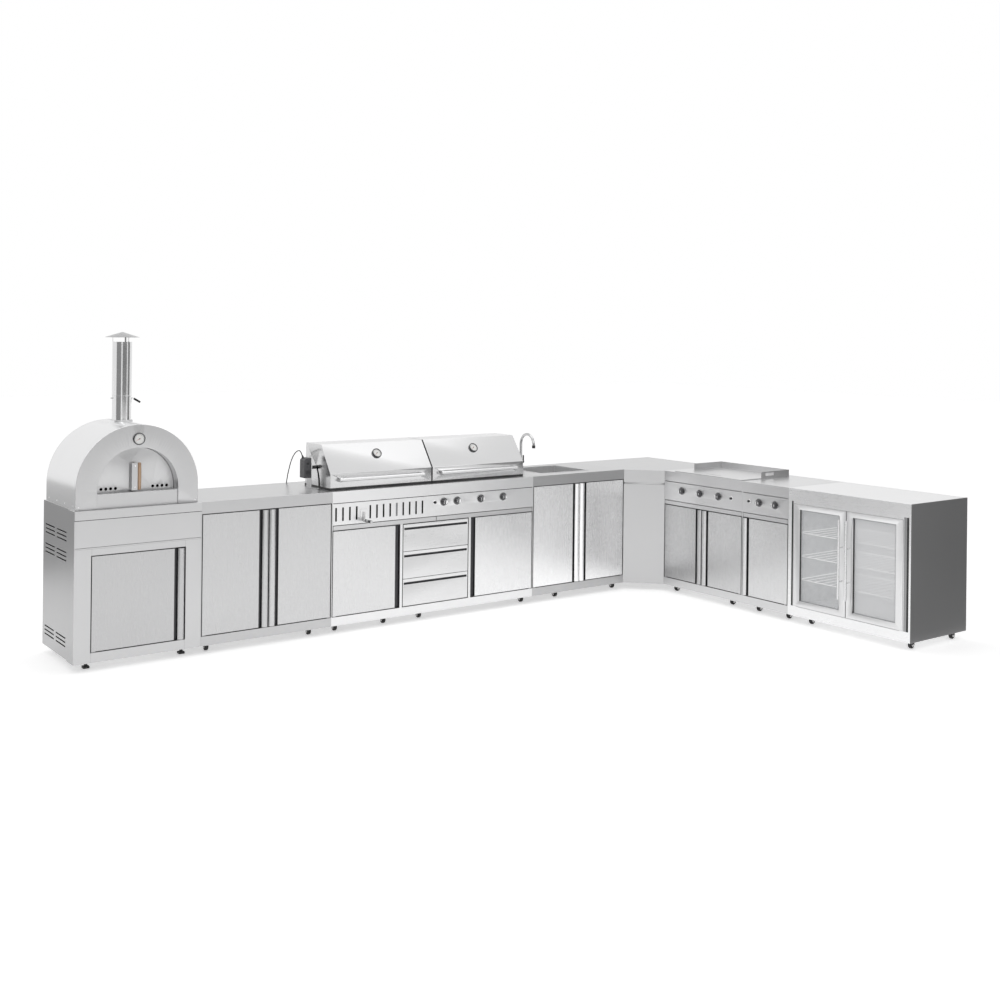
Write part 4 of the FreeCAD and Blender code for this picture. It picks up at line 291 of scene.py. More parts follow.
glowing_cold_liner = pitted("glowing_cold_liner", (0.62, 0.63, 0.64), (0.72, 0.73, 0.74), 0.36, 800.0, 0.00005)
# Painted light: the liner glows a little.
glowing(glowing_cold_liner, 0.11)
dial_white = pitted("dial_white", (0.80, 0.80, 0.78), (0.86, 0.86, 0.85), 0.35, 500.0, 0.00001)
dial_ink = pitted("dial_ink", (0.015, 0.015, 0.015), (0.03, 0.03, 0.03), 0.5, 500.0, 0.00001)
needle_red = pitted("needle_red", (0.42, 0.02, 0.015), (0.52, 0.03, 0.02), 0.4, 500.0, 0.00001)
level_grey = pitted("level_window_grey", (0.28, 0.29, 0.30), (0.36, 0.37, 0.38), 0.3, 500.0, 0.00002)


def grip_wood():
    """Oiled hardwood with long rings."""
    material, tree, shader = shader_tree("grip_wood")
    place = object_place(tree)
    along = add_node(tree, "ShaderNodeMapping", Vector=place, Scale=(60, 60, 5)).outputs["Vector"]
    wave = {"Vector": along, "Scale": 1.6, "Distortion": 5.0, "Detail": 3.0}
    rings = add_node(tree, "ShaderNodeTexWave", {"wave_type": "RINGS"}, **wave).outputs["Fac"]
    pores = stretched_noise(tree, place, (900, 900, 40), 1.0, 3.0)
    tone = ramp(tree, maths(tree, "MULTIPLY_ADD", pores, 0.5, rings), 0.2, 1.2, 0, 1)
    feed(tree, shader, {
        "Base Color": tinted(tree, tone, (0.29, 0.18, 0.11), (0.54, 0.37, 0.25)),
        "Roughness": ramp(tree, pores, 0.3, 0.7, 0.34, 0.52),
        "Normal": bumped(tree, pores, 0.3, 0.0003),
    })
    return material


def clear_glass(name, tone, alpha):
    """A pane seen from both sides; the alpha lets the cabinet behind it show through."""
    material, tree, shader = shader_tree(name)
    wiped = stretched_noise(tree, object_place(tree), EVEN, 3.0, 3.0)
    rough = ramp(tree, wiped, 0.3, 0.7, 0.02, 0.06)
    feed(tree, shader, {"Roughness": rough, "Base Color": (*tone, 1), "Alpha": alpha, "Metallic": 0.0})
    return material


zinc = polished_metal("zinc_plate", 0.55, 0.22, 0.005)
brass = polished_metal("plug_blade_brass", 0.6, 0.2, 0.12)
lead_rubber = pitted("lead_rubber", (0.008, 0.008, 0.008), (0.018, 0.018, 0.018), 0.5, 2600.0, 0.00005, 0.0, 0.1)
wood = grip_wood()
# Painted reflection: the right pane is brighter and less clear than the left.
pane_glass = {
    "left": clear_glass("left_pane_glass", (0.84, 0.84, 0.85), 0.16),
    "right": clear_glass("right_pane_glass", (0.95, 0.95, 0.96), 0.36),
}
glowing_shelf_white = pitted("shelf_coating_painted_glow", (0.82, 0.82, 0.82), (0.90, 0.90, 0.90), 0.30, 900.0, 0.00003)
# Painted light: the shelves glow.
glowing(glowing_shelf_white, 0.32)
print("materials", len(bpy.data.materials))

# %% [markdown]
# ## Folded edges
# A real panel has no razor edge: sheet is folded round a small radius, and that radius catches the light. Each
# solid is copied, its loose triangles are merged, flat triangles are joined into panels, and a Bevel modifier
# rounds every edge that turns by more than 30 degrees. On carcasses and doors only the sharp edges longer than
# 20 mm are rounded, and a Weighted Normal modifier keeps the wide panels flat beside them. The copy then stands
# for the solid.

# %% Dress a solid
SHARP = math.radians(30)
FLAT = math.radians(0.6)
MERGE = 0.00002
INSIDE_BY = 0.0004
LONG_EDGE = 0.020


def weigh_long_edges(form, shortest):
    """Mark the sharp edges longer than a length, so that only they are rounded."""
    weight = form.edges.layers.float.new("bevel_weight_edge")
    for edge in form.edges:
        turned = len(edge.link_faces) == 2 and edge.calc_face_angle() > SHARP
        edge[weight] = 1.0 if turned and edge.calc_length() > shortest else 0.0


def finished_mesh(name, source, keep=None, shortest=0.0):
    """A merged copy of a solid's mesh, or of the part of it whose inner points pass a test."""
    form = bmesh.new()
    form.from_mesh(source)
    if keep:
        form.normal_update()
        others = [f for f in form.faces if not keep(f.calc_center_median() - f.normal * INSIDE_BY)]
        bmesh.ops.delete(form, geom=others, context="FACES")
    bmesh.ops.remove_doubles(form, verts=form.verts, dist=MERGE)
    bmesh.ops.dissolve_limit(form, angle_limit=FLAT, verts=form.verts, edges=form.edges)
    many_sided = [face for face in form.faces if len(face.verts) > 4]
    bmesh.ops.triangulate(form, faces=many_sided, quad_method="BEAUTY", ngon_method="BEAUTY")
    if shortest:
        weigh_long_edges(form, shortest)
    mesh = bpy.data.meshes.new(name)
    form.to_mesh(mesh)
    form.free()
    return mesh


def shade(mesh):
    """Smooth shading with the real corners kept sharp."""
    mesh.polygons.foreach_set("use_smooth", [True] * len(mesh.polygons))
    mesh.set_sharp_from_angle(angle=SHARP)


def place_piece(name, mesh, body, materials=()):
    """A finished piece at the origin, riding on its body."""
    piece = bpy.data.objects.new(name, mesh)
    scene.collection.objects.link(piece)
    for material in materials:
        mesh.materials.append(material)
    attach(piece, body)
    return piece


def round_edges(piece, width, segments=2, weighted=False):
    """Round the corners of a piece by a small radius."""
    modifier = piece.modifiers.new("edge", "BEVEL")
    modifier.width = width
    modifier.segments = segments
    modifier.limit_method = "WEIGHT" if weighted else "ANGLE"
    modifier.angle_limit = SHARP
    modifier.use_clamp_overlap = False
    modifier.harden_normals = not weighted
    modifier.miter_outer = "MITER_ARC"
    if weighted:
        flat = piece.modifiers.new("flat_panels", "WEIGHTED_NORMAL")
        flat.mode = "FACE_AREA"
        flat.weight = 100
        flat.keep_sharp = True


def dress(node, material, width=0.0008, segments=2, keep=None, name=None, also=(), shortest=0.0):
    """Stand a finished copy in for a solid; also holds pairs of a material and a test of centre and normal."""
    mesh = finished_mesh(name or node + "_finished", frame["nodes"][node].data, keep, shortest)
    mesh.materials.clear()
    shade(mesh)
    piece = place_piece(
        mesh.name, mesh, body_of_node[node], [material] + [extra for extra, _ in also]
    )
    for polygon in mesh.polygons:
        polygon.material_index = 0
        for index, (_, test) in enumerate(also):
            if test(polygon.center, polygon.normal):
                polygon.material_index = index + 1
    if width:
        round_edges(piece, width, segments, bool(shortest))
    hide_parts(node)
    return piece


# %% [markdown]
# ## Cabinets
# Carcasses keep their grain along the run. A finish can be laid on chosen faces only, and several of these are
# painted light and shade: the cut edges are painted near black as the shadow in the line round each door, the
# grill's front and the fridge's front are lighter copies of their steel, the fridge's pale inside glows a little,
# and its end sheet is a darker copy. The burner boxes under the hoods take the dark cast-iron finish, and the black
# strip under each hood is the enamelled rim of its firebox.

# %% Cabinets
WORKTOP, RIM_TOP = 0.920, 0.9355
LONG_FRONT, SHORT_FRONT, SHORT_END = 0.895, 1.900, -1.5045
MODULE_SEAM = -0.115
WING_SPLIT = 0.80
EDGE_BACK = (0.0005, 0.03)
SQUARELY = -0.9
ANYWHERE = 9.0


def between(low, high):
    """A test for face centres between two corners."""
    return lambda p, n: all(low[i] < p[i] < high[i] for i in range(3))


rim_face = between((-0.8445, 0.954, WORKTOP + 0.0008), (0.7425, 1.3105, RIM_TOP))
panel_inside = between((-ANYWHERE, LONG_FRONT + 0.0015, 0.70), (ANYWHERE, 1.50, WORKTOP - 0.0015))
bowl_face = between((0.90, 0.97, 0.70), (1.46, 1.44, 0.9195))
cold_room = between((1.9005, -1.451, 0.114), (2.466, -0.577, 0.8185))


def shown_face(p, n):
    return n.y < -0.5


def left_face(p, n):
    return n.x < SQUARELY


def fridge_front(p, n):
    return n.x < SQUARELY and p.x < SHORT_FRONT + 0.0008


def end_face(p, n):
    return n.y < SQUARELY and p.y < SHORT_END + 0.001


def cold_face(p, n):
    """The fridge's inside, but not the faces beside its opening."""
    return cold_room(p, n) and not fridge_front(p, n)


def opening_edge(p, n):
    """The cut edges of a carcass's front, painted near black as the shadow in the line round a door."""
    on_sides = p.x > -2.505 and p.y > -1.50 and 0.06 < p.z < 0.915
    long_edge = abs(n.y) < 0.5 and EDGE_BACK[0] < p.y - LONG_FRONT < EDGE_BACK[1] and p.x < 1.80
    short_edge = abs(n.x) < 0.5 and EDGE_BACK[0] < p.x - SHORT_FRONT < EDGE_BACK[1] and p.y < WING_SPLIT
    return on_sides and (long_edge or short_edge)


# Painted shade: the cut edges round each opening take the near-black steel.
gaps = (gap_shade_steel, opening_edge)
dress("storage_cabinets", cabinet_steel, 0.0009, shortest=LONG_EDGE, also=[gaps])
# Painted light: the grill's front faces take the lighter steel.
dress(
    "grill_cabinet", cabinet_steel, 0.0008, shortest=LONG_EDGE,
    also=[(grill_front_light_steel, shown_face), gaps, (rim_black, rim_face), (cast_iron, panel_inside)],
)
# Painted light: the sink's bowl takes the lighter steel.
dress("sink_cabinet", sink_steel, 0.0008, shortest=LONG_EDGE, also=[gaps, (front_and_bowl_light_steel, bowl_face)])
dress(
    "griddle_cabinet", short_top_steel, 0.0008, keep=lambda p: p.y > MODULE_SEAM, name="griddle_module",
    shortest=LONG_EDGE, also=[gaps],
)
dress(
    "griddle_cabinet", short_top_steel, 0.0008, keep=lambda p: p.y <= MODULE_SEAM, name="side_burner_module",
    shortest=LONG_EDGE, also=[gaps],
)
# Painted light and shade: the fridge's front is lighter, its end sheet darker, and its liner glows a little.
dress(
    "fridge_cabinet", fridge_steel, 0.0010, shortest=LONG_EDGE,
    also=[gaps, (front_and_bowl_light_steel, fridge_front), (end_shade_and_seam_steel, end_face), (glowing_cold_liner, cold_face)],
)
# Painted shade: the stand's left side takes the darker steel.
dress("oven_stand", stand_steel, 0.0010, shortest=LONG_EDGE, also=[gaps, (stand_side_shade_steel, left_face)])
print("carcasses dressed")

# %% [markdown]
# ## Doors, drawers and trays
# Every door is the same folded pan with a rolled pull, so one loop dresses them all. Each door meets the light at
# its own angle, and that light and shade is painted into its own sheet tone; its edges and its finger groove are
# painted dark as their shade. The grain stands upright on doors, and lies along drawer fronts and trays.

# %% Doors, drawers and trays
DOOR_LIGHT_TONES = {
    "stand_door": 0.50, "storage_left_door": 0.54, "storage_right_door": 0.57, "grill_left_door": 0.66,
    "grill_right_door": 0.80, "sink_left_door": 0.93, "sink_right_door": 0.98, "griddle_left_door": 0.50,
    "griddle_right_door": 0.58, "burner_door": 0.66,
}
DOOR_DEPTH, FRONT_SKIN = 0.018, 0.0015
DRAWERS = ["top_drawer", "middle_drawer", "bottom_drawer"]
TRAYS = ["grill_left_drip_tray", "grill_right_drip_tray", "griddle_drip_tray", "burner_drip_tray"]


def door_edge(front, axis):
    """A test for a door's edges and finger groove, which lie behind its front and are painted dark as their shade."""
    return lambda p, n: n[axis] < 0.5 and FRONT_SKIN < p[axis] - front < DOOR_DEPTH + 0.0005


for node, tone in DOOR_LIGHT_TONES.items():
    on_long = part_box(node)[0].y > WING_SPLIT
    edges = door_edge(LONG_FRONT, 1) if on_long else door_edge(SHORT_FRONT, 0)
    # Painted light and shade: each door's tone stands for how much light it meets.
    sheet = brushed_steel(node + "_steel", tone, 0.27, "z", "z")
    dress(node, sheet, 0.0009, shortest=LONG_EDGE, also=[(gap_shade_steel, edges)])
for node in DRAWERS:
    dress(node, drawer_steel, 0.0008, also=[(gap_shade_steel, door_edge(LONG_FRONT, 1))])
for node in TRAYS:
    dress(node, tray_steel, 0.0006)
dress("burner_lid", short_top_steel, 0.0012, shortest=LONG_EDGE)
dress("griddle_plate", short_top_steel, 0.0009, shortest=LONG_EDGE)
dress("charcoal_tray", tray_steel, 0.0008)
dress("gas_burners", tray_steel, 0.0)
dress("cooking_grates", cast_iron, 0.0015)
dress("fridge_shelves", glowing_shelf_white, 0.0017, 3)
print("doors", len(DOOR_LIGHT_TONES), "drawers", len(DRAWERS), "trays", len(TRAYS))

# %% [markdown]
# ## Turned pieces
# Knobs, dials, caps and screws are turned on a lathe in real life. Here too: a profile of radius and height is
# spun round an axis, and the ends are closed.

# %% Lathe
ROUND = 48


def circle(radius, steps):
    """Evenly spaced points round a circle, as pairs."""
    angles = [2 * math.pi * k / steps for k in range(steps)]
    return [(radius * math.cos(angle), radius * math.sin(angle)) for angle in angles]


def paint(verts, material):
    """Give the faces at some corners a material number."""
    for face in {f for v in verts for f in v.link_faces}:
        face.material_index = material


def lathe(form, profile, centre, axis, steps=ROUND, material=0):
    """Spin a profile of (radius, height) round an axis through a point."""
    turn = Vector((0, 0, 1)).rotation_difference(Vector(axis)).to_matrix()
    rings = []
    for radius, height in profile:
        places = circle(radius, steps) if radius > 1e-7 else [(0, 0)]
        rings.append([form.verts.new(Vector(centre) + turn @ Vector((x, y, height))) for x, y in places])
    for low, high in zip(rings, rings[1:]):
        for k in range(steps):
            after = (k + 1) % steps
            if len(low) == 1 and len(high) == 1:
                continue
            if len(low) == 1:
                face = form.faces.new((low[0], high[after], high[k]))
            elif len(high) == 1:
                face = form.faces.new((low[k], low[after], high[0]))
            else:
                face = form.faces.new((low[k], low[after], high[after], high[k]))
            face.material_index = material


def slab(form, low, high, material=0, turn=None, centre=None):
    """A box between two corners, optionally turned about a point."""
    made = bmesh.ops.create_cube(form, size=1.0)
    size = [high[i] - low[i] for i in range(3)]
    middle = Vector([(high[i] + low[i]) / 2 for i in range(3)])
    for v in made["verts"]:
        v.co = Vector([v.co[i] * size[i] for i in range(3)]) + middle
        if turn is not None:
            v.co = Vector(centre) + turn @ (v.co - Vector(centre))
    paint(made["verts"], material)


def tube_along(form, points, radius, sides=16):
    """A round tube through points, with its frame carried along the line without twist."""
    points = [Vector(p) for p in points]
    ways = []
    for k in range(len(points)):
        ways.append((points[min(k + 1, len(points) - 1)] - points[max(k - 1, 0)]).normalized())
    side = ways[0].orthogonal().normalized()
    rings = []
    for point, way in zip(points, ways):
        side = (side - way * side.dot(way)).normalized()
        other = way.cross(side)
        rings.append([form.verts.new(point + (side * x + other * y) * radius) for x, y in circle(1.0, sides)])
    for low, high in zip(rings, rings[1:]):
        for k in range(sides):
            after = (k + 1) % sides
            form.faces.new((low[k], low[after], high[after], high[k]))
    form.faces.new(list(reversed(rings[0])))
    form.faces.new(rings[-1])


def made_piece(name, form, body, materials, width=0.0, segments=2):
    """Turn a built form into a piece that rides on a body."""
    bmesh.ops.recalc_face_normals(form, faces=form.faces)
    mesh = bpy.data.meshes.new(name)
    form.to_mesh(mesh)
    form.free()
    shade(mesh)
    piece = place_piece(name, mesh, body, materials)
    if width:
        round_edges(piece, width, segments)
    return piece


# %% [markdown]
# ## Geometry Nodes for what repeats
# Screws, dial marks, vents and castors are many copies of one small shape. A node tree holds that shape once and
# puts it on every point of a carrier mesh; an attribute on the points says which way each copy faces. The tree
# ends in Realize Instances and Set Material, and the result is turned into a plain mesh.

# %% Copies on points
CYLINDER, CUBE = "GeometryNodeMeshCylinder", "GeometryNodeMeshCube"


def carrier(points, ways, spins=None):
    """A mesh of bare points that carry a facing direction and a spin angle."""
    mesh = bpy.data.meshes.new("carrier")
    mesh.from_pydata([tuple(p) for p in points], [], [])
    facing = mesh.attributes.new("facing", "FLOAT_VECTOR", "POINT")
    facing.data.foreach_set("vector", [c for way in ways for c in way])
    spin = mesh.attributes.new("spin", "FLOAT", "POINT")
    spin.data.foreach_set("value", list(spins or [0.0] * len(points)))
    holder = bpy.data.objects.new("carrier", mesh)
    scene.collection.objects.link(holder)
    return holder


def copies_tree(name, inputs, shape, material):
    """A tree with named size inputs that puts one shape on every point of its carrier."""
    tree = bpy.data.node_groups.new(name, "GeometryNodeTree")
    tree.interface.new_socket("Geometry", in_out="INPUT", socket_type="NodeSocketGeometry")
    sockets = {}
    for label, value in inputs.items():
        sockets[label] = tree.interface.new_socket(label, in_out="INPUT", socket_type="NodeSocketFloat")
        sockets[label].default_value = value
    tree.interface.new_socket("Geometry", in_out="OUTPUT", socket_type="NodeSocketGeometry")
    entry, leave = tree.nodes.new("NodeGroupInput"), tree.nodes.new("NodeGroupOutput")
    item = shape(tree, entry.outputs)
    facing = add_node(tree, "GeometryNodeInputNamedAttribute", {"data_type": "FLOAT_VECTOR"}, Name="facing")
    spin = add_node(tree, "GeometryNodeInputNamedAttribute", {"data_type": "FLOAT"}, Name="spin")
    align = add_node(
        tree, "FunctionNodeAlignRotationToVector", {"axis": "Z", "pivot_axis": "AUTO"}, Vector=facing.outputs[0]
    )
    about = add_node(tree, "FunctionNodeAxisAngleToRotation", Axis=(0, 0, 1), Angle=spin.outputs[0])
    turned = add_node(
        tree, "FunctionNodeRotateRotation", {"rotation_space": "LOCAL"}, _0=align.outputs[0], _1=about.outputs[0]
    )
    spread = add_node(
        tree, "GeometryNodeInstanceOnPoints", Points=entry.outputs["Geometry"], Instance=item,
        Rotation=turned.outputs[0],
    )
    real = add_node(tree, "GeometryNodeRealizeInstances", Geometry=spread.outputs[0])
    coat = add_node(tree, "GeometryNodeSetMaterial", Geometry=real.outputs[0], Material=material)
    tree.links.new(coat.outputs[0], leave.inputs["Geometry"])
    return tree, {label: socket.identifier for label, socket in sockets.items()}


def copies(name, tree_and_names, points, ways, body, sizes=None, spins=None):
    """Run a copies tree on points and keep its result as a plain mesh on one body."""
    tree, names = tree_and_names
    holder = carrier(points, ways, spins)
    modifier = holder.modifiers.new("copies", "NODES")
    modifier.node_group = tree
    for label, value in (sizes or {}).items():
        modifier[names[label]] = value
    evaluated = holder.evaluated_get(bpy.context.evaluated_depsgraph_get())
    mesh = bpy.data.meshes.new_from_object(evaluated)
    mesh.name = name
    bpy.data.objects.remove(holder)
    for attribute in ("facing", "spin"):
        if attribute in mesh.attributes:
            mesh.attributes.remove(mesh.attributes[attribute])
    shade(mesh)
    return place_piece(name, mesh, body)


def screw_shape(tree, sizes):
    """A low domed screw head: a short cylinder under a flattened ball."""
    collar = add_node(tree, CYLINDER, Vertices=16, Radius=sizes["Head radius"], Depth=sizes["Head height"])
    ball = add_node(tree, "GeometryNodeMeshUVSphere", Segments=16, Rings=8, Radius=sizes["Head radius"])
    flat = add_node(tree, "GeometryNodeTransform", Geometry=ball.outputs[0], Scale=(0.92, 0.92, 0.4))
    return add_node_list(tree, "GeometryNodeJoinGeometry", (collar.outputs[0], flat.outputs[0]))


def add_node_list(tree, kind, links):
    """A node whose one input takes several links."""
    node = tree.nodes.new(kind)
    for link in links:
        tree.links.new(link, node.inputs[0])
    return node.outputs[0]


def tick_shape(tree, sizes):
    """A flat bar that points away from the middle of a dial."""
    size = add_node(tree, "ShaderNodeCombineXYZ", X=sizes["Width"], Y=sizes["Length"], Z=sizes["Thickness"])
    bar = add_node(tree, CUBE, Size=size.outputs[0])
    out = add_node(tree, "ShaderNodeCombineXYZ", X=0.0, Y=sizes["Reach"], Z=0.0)
    return add_node(tree, "GeometryNodeTransform", Geometry=bar.outputs[0], Translation=out.outputs[0]).outputs[0]


screws = copies_tree("screw_heads", {"Head radius": 0.0042, "Head height": 0.0016}, screw_shape, chrome)
ticks = copies_tree(
    "dial_ticks", {"Width": 0.0012, "Length": 0.005, "Thickness": 0.0004, "Reach": 0.022}, tick_shape, dial_ink
)
print("copy trees", 2)

# %% [markdown]
# ## Knobs and buttons
# Each knob is a turned chrome cap with a dished face and a raised grip bar, standing on the round plate that
# belongs to the panel. Marks round the plate show how far the gas is open. The knob's own solid is replaced.

# %% Knobs
BEZEL_FRONT = 0.0052
KNOB_OUTLINE = [
    (0.0, 0.0003), (0.0205, 0.0003), (0.0219, 0.0012), (0.0219, 0.004), (0.0205, 0.0056), (0.0196, 0.013),
    (0.0192, 0.0205), (0.0182, 0.0232), (0.0164, 0.0246), (0.0145, 0.0242), (0.0, 0.0236),
]
PLATE_OUTLINE = [(0.0, 0.0), (0.0293, 0.0), (0.0293, 0.0038), (0.0283, 0.0050), (0.0272, 0.0051), (0.0, 0.0051)]
GRIP_SIZE, GRIP_TAPER, GRIP_OUT = (0.0082, 0.0325, 0.0072), 0.84, 0.0266
MARK_SIZE, MARK_UP, MARK_OUT = (0.0016, 0.008, 0.0004), 0.0088, 0.0302
MARKS, FIRST_MARK, MARK_STEP = 11, -135, 27


def control_seat(node, proud=0.0):
    """A control's middle on its front sheet, the way it faces and the way along its wing."""
    low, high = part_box(node)
    base = (low + high) / 2
    if node.startswith("grill"):
        base.y = LONG_FRONT - proud
        return base, Vector((0, -1, 0)), Vector((1, 0, 0))
    base.x = SHORT_FRONT - proud
    return base, Vector((-1, 0, 0)), Vector((0, 1, 0))


def knob_block(form, base, turn, size, up, out, taper=1.0, material=0):
    """A block in a knob's own axes (along, up, out), narrower at its outer end."""
    verts = bmesh.ops.create_cube(form, size=1.0)["verts"]
    for v in verts:
        narrow = taper if v.co.z > 0 else 1.0
        along, height = v.co.x * size[0] * narrow, up + v.co.y * size[1] * narrow
        v.co = base + turn @ Vector((along, height, out + v.co.z * size[2]))
    paint(verts, material)


knob_nodes = sorted(node for node in frame["nodes"] if "_knob_" in node)
mark_points, mark_ways, mark_spins = [], [], []
plates = bmesh.new()
for node in knob_nodes:
    base, axis, side = control_seat(node, BEZEL_FRONT)
    form = bmesh.new()
    lathe(form, KNOB_OUTLINE, base, axis)
    turn = Matrix((side, Vector((0, 0, 1)), axis)).transposed()
    knob_block(form, base, turn, GRIP_SIZE, 0.0, GRIP_OUT, GRIP_TAPER)
    knob_block(form, base, turn, MARK_SIZE, MARK_UP, MARK_OUT, material=1)
    knob = made_piece(node + "_turned", form, node, [chrome, dial_ink, dark_chrome_and_shade], 0.0007)
    # Painted shade: the knob's side faces take the dark chrome.
    for polygon in knob.data.polygons:
        if polygon.material_index == 0 and abs(polygon.normal.dot(axis)) < 0.8:
            polygon.material_index = 2
    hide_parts(node)
    lathe(plates, PLATE_OUTLINE, base - axis * BEZEL_FRONT, axis)
    mark_points += [base + axis * 0.0001] * MARKS
    mark_ways += [axis] * MARKS
    mark_spins += [math.radians(FIRST_MARK + MARK_STEP * step) for step in range(MARKS)]
made_piece("knob_plates", plates, "kitchen", [knob_plate_shade])
copies(
    "knob_plate_marks", ticks, mark_points, mark_ways, "kitchen",
    {"Width": 0.0011, "Length": 0.0034, "Thickness": 0.0003, "Reach": 0.0258}, mark_spins,
)
print("knobs", len(knob_nodes))

# %% Buttons
BUTTONS = ("grill_button", "griddle_button", "burner_button")
CAP_OUTLINE = [(0.0, -0.0028), (0.0088, -0.0028), (0.0088, 0.0095), (0.0080, 0.0112), (0.0062, 0.0118), (0.0, 0.0112)]
RING_OUTLINE = [
    (0.0094, 0.0001), (0.0142, 0.0001), (0.0142, 0.0018), (0.0128, 0.0032), (0.0100, 0.0032), (0.0094, 0.0001),
]
for node in BUTTONS:
    base, axis, side = control_seat(node)
    form = bmesh.new()
    lathe(form, CAP_OUTLINE, base, axis)
    cap = made_piece(node + "_moulded", form, node, [black_plastic])
    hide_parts(node)
    form = bmesh.new()
    lathe(form, RING_OUTLINE, base, axis)
    made_piece(node + "_ring", form, "kitchen", [chrome])
print("buttons", len(BUTTONS))

# %% [markdown]
# ## Hoods
# The hoods are folded from one sheet each, so their copies get a wider fold radius than the cabinets. The dial
# of each one is turned separately: chrome ring, white face, printed marks, needle and hub.

# %% Dials


def dial(name, centre, axis, radius, thickness, body, needle_angle):
    """A thermometer: ring, face, marks, needle and hub."""
    axis = Vector(axis).normalized()
    form = bmesh.new()
    ring = [
        (0.0, 0.0), (radius, 0.0), (radius, thickness * 0.72), (radius * 0.965, thickness * 0.95),
        (radius * 0.90, thickness), (radius * 0.845, thickness * 0.9), (radius * 0.83, thickness * 0.62),
        (0.0, thickness * 0.62),
    ]
    lathe(form, ring, centre, axis)
    body_ring = made_piece(name + "_ring", form, body, [dark_chrome_and_shade])
    for polygon in body_ring.data.polygons:
        near = (polygon.center - centre - axis * (polygon.center - centre).dot(axis)).length
        if near < radius * 0.8 and (polygon.center - centre).dot(axis) > thickness * 0.5:
            polygon.material_index = 1
    body_ring.data.materials.append(dial_white)
    face_height = thickness * 0.62
    points = [centre + axis * (face_height + 0.0001)] * 21
    spins = [math.radians(-130 + 13 * step) for step in range(21)]
    copies(
        name + "_marks", ticks, points, [axis] * 21, body,
        {"Width": radius * 0.03, "Length": radius * 0.13, "Thickness": 0.0003, "Reach": radius * 0.71}, spins,
    )
    side = Vector((1, 0, 0))
    up = axis.cross(side).normalized()
    way = (up * math.cos(needle_angle) + side * math.sin(needle_angle)).normalized()
    flat = axis.cross(way)
    lift = centre + axis * (face_height + 0.0007)
    form = bmesh.new()
    corners = [
        lift - way * radius * 0.18 - flat * radius * 0.03, lift - way * radius * 0.18 + flat * radius * 0.03,
        lift + way * radius * 0.6 + flat * radius * 0.008, lift + way * radius * 0.6 - flat * radius * 0.008,
    ]
    low = [form.verts.new(c) for c in corners]
    high = [form.verts.new(c + axis * 0.0004) for c in corners]
    form.faces.new(low)
    form.faces.new(high)
    for k in range(4):
        form.faces.new((low[k], low[(k + 1) % 4], high[(k + 1) % 4], high[k]))
    lathe(form, [(0.0, 0.0), (radius * 0.08, 0.0), (radius * 0.08, 0.0012), (0.0, 0.0014)], lift, axis, 20, 1)
    made_piece(name + "_needle", form, body, [needle_red, dial_ink])


SLOPE_RISE, SLOPE_DEPTH = 0.180, 0.130
HOOD_SLOPE = math.atan2(SLOPE_RISE, SLOPE_DEPTH)
HOOD_DIAL_UP, DIAL_RADIUS = 0.6, 0.034
SLOPE_WAY = Vector((0, -math.sin(HOOD_SLOPE), math.cos(HOOD_SLOPE)))
for name, start in (("left_hood", -0.844), ("right_hood", -0.046)):
    centre = Vector((start + 0.394, 0.955 + SLOPE_DEPTH * HOOD_DIAL_UP, 1.030 + SLOPE_RISE * HOOD_DIAL_UP))

    def shell_only(p, centre=centre):
        """Inner points of the hood alone, without the dial that stands on its slope."""
        away = p - centre
        along = away.dot(SLOPE_WAY)
        return not (along > 0 and (away - SLOPE_WAY * along).length < DIAL_RADIUS + 0.002)

    dress(name, hood_steel, 0.0018, 3, keep=shell_only, name=name + "_folded")
    dial(name + "_dial", centre, SLOPE_WAY, DIAL_RADIUS, 0.0118, name, math.radians(-128))
print("hoods dressed")

# %% [markdown]
# ## Pizza oven
# The oven is a rolled arch of sheet. Its door is a separate plate with a turned wooden grip on a steel angle.
# The solid keeps plate, angle and grip in one node, so the plate and angle are copied from it by place, and
# the grip is turned fresh.

# %% Oven
OVEN_X = -2.130
OVEN_MIDDLE = 1.10
GAUGE_BACK, GAUGE_Z = 0.9248, 1.316
GRIP_FRONT = LONG_FRONT + 0.0997 - 0.046
GRIP_LOW, GRIP_LENGTH, GRIP_HALF = 1.013, 0.160, 0.013
GRIP_STEPS = 12


def gauge_point(p):
    """Inner points of the gauge, which is turned afresh."""
    return p.y < 0.9249 and 1.27 < p.z < 1.36 and abs(p.x - OVEN_X) < 0.04


def lining_face(p, n):
    """The chamber's own walls: inside its room, and turned towards its middle."""
    inward = (OVEN_X - p.x) * n.x + (OVEN_MIDDLE - p.z) * n.z > -0.0001
    return inward and 1.008 < p.y < 1.4275 and 1.004 < p.z < 1.32 and abs(p.x - OVEN_X) < 0.2905


def roof_face(p, n):
    """The rolled sheet: turned outwards, and neither a front nor a level face."""
    outward = (p.x - OVEN_X) * n.x + (p.z - OVEN_MIDDLE) * n.z > 0
    return abs(n.y) < 0.5 and outward and abs(n.x) > 0.05


# Painted light: the rolled roof takes the lighter steel.
dress(
    "oven_shell", oven_steel, 0.0022, 3, keep=lambda p: not gauge_point(p), name="oven_arch",
    also=[(roof_light_steel, roof_face), (fire_lining, lining_face)],
)
dial(
    "oven_gauge", Vector((OVEN_X, GAUGE_BACK, GAUGE_Z)), (0, -1, 0), 0.036, 0.0098, "kitchen",
    math.radians(-120),
)


def wooden_point(p):
    """Inner points of the grip: in the grip's circle and clear of the angle and its tab."""
    away = math.hypot(p.x - (OVEN_X + GRIP_HALF), p.y - (GRIP_FRONT + GRIP_HALF))
    return away < 0.0131 and p.x > OVEN_X + 0.003 and GRIP_LOW < p.z < GRIP_LOW + GRIP_LENGTH


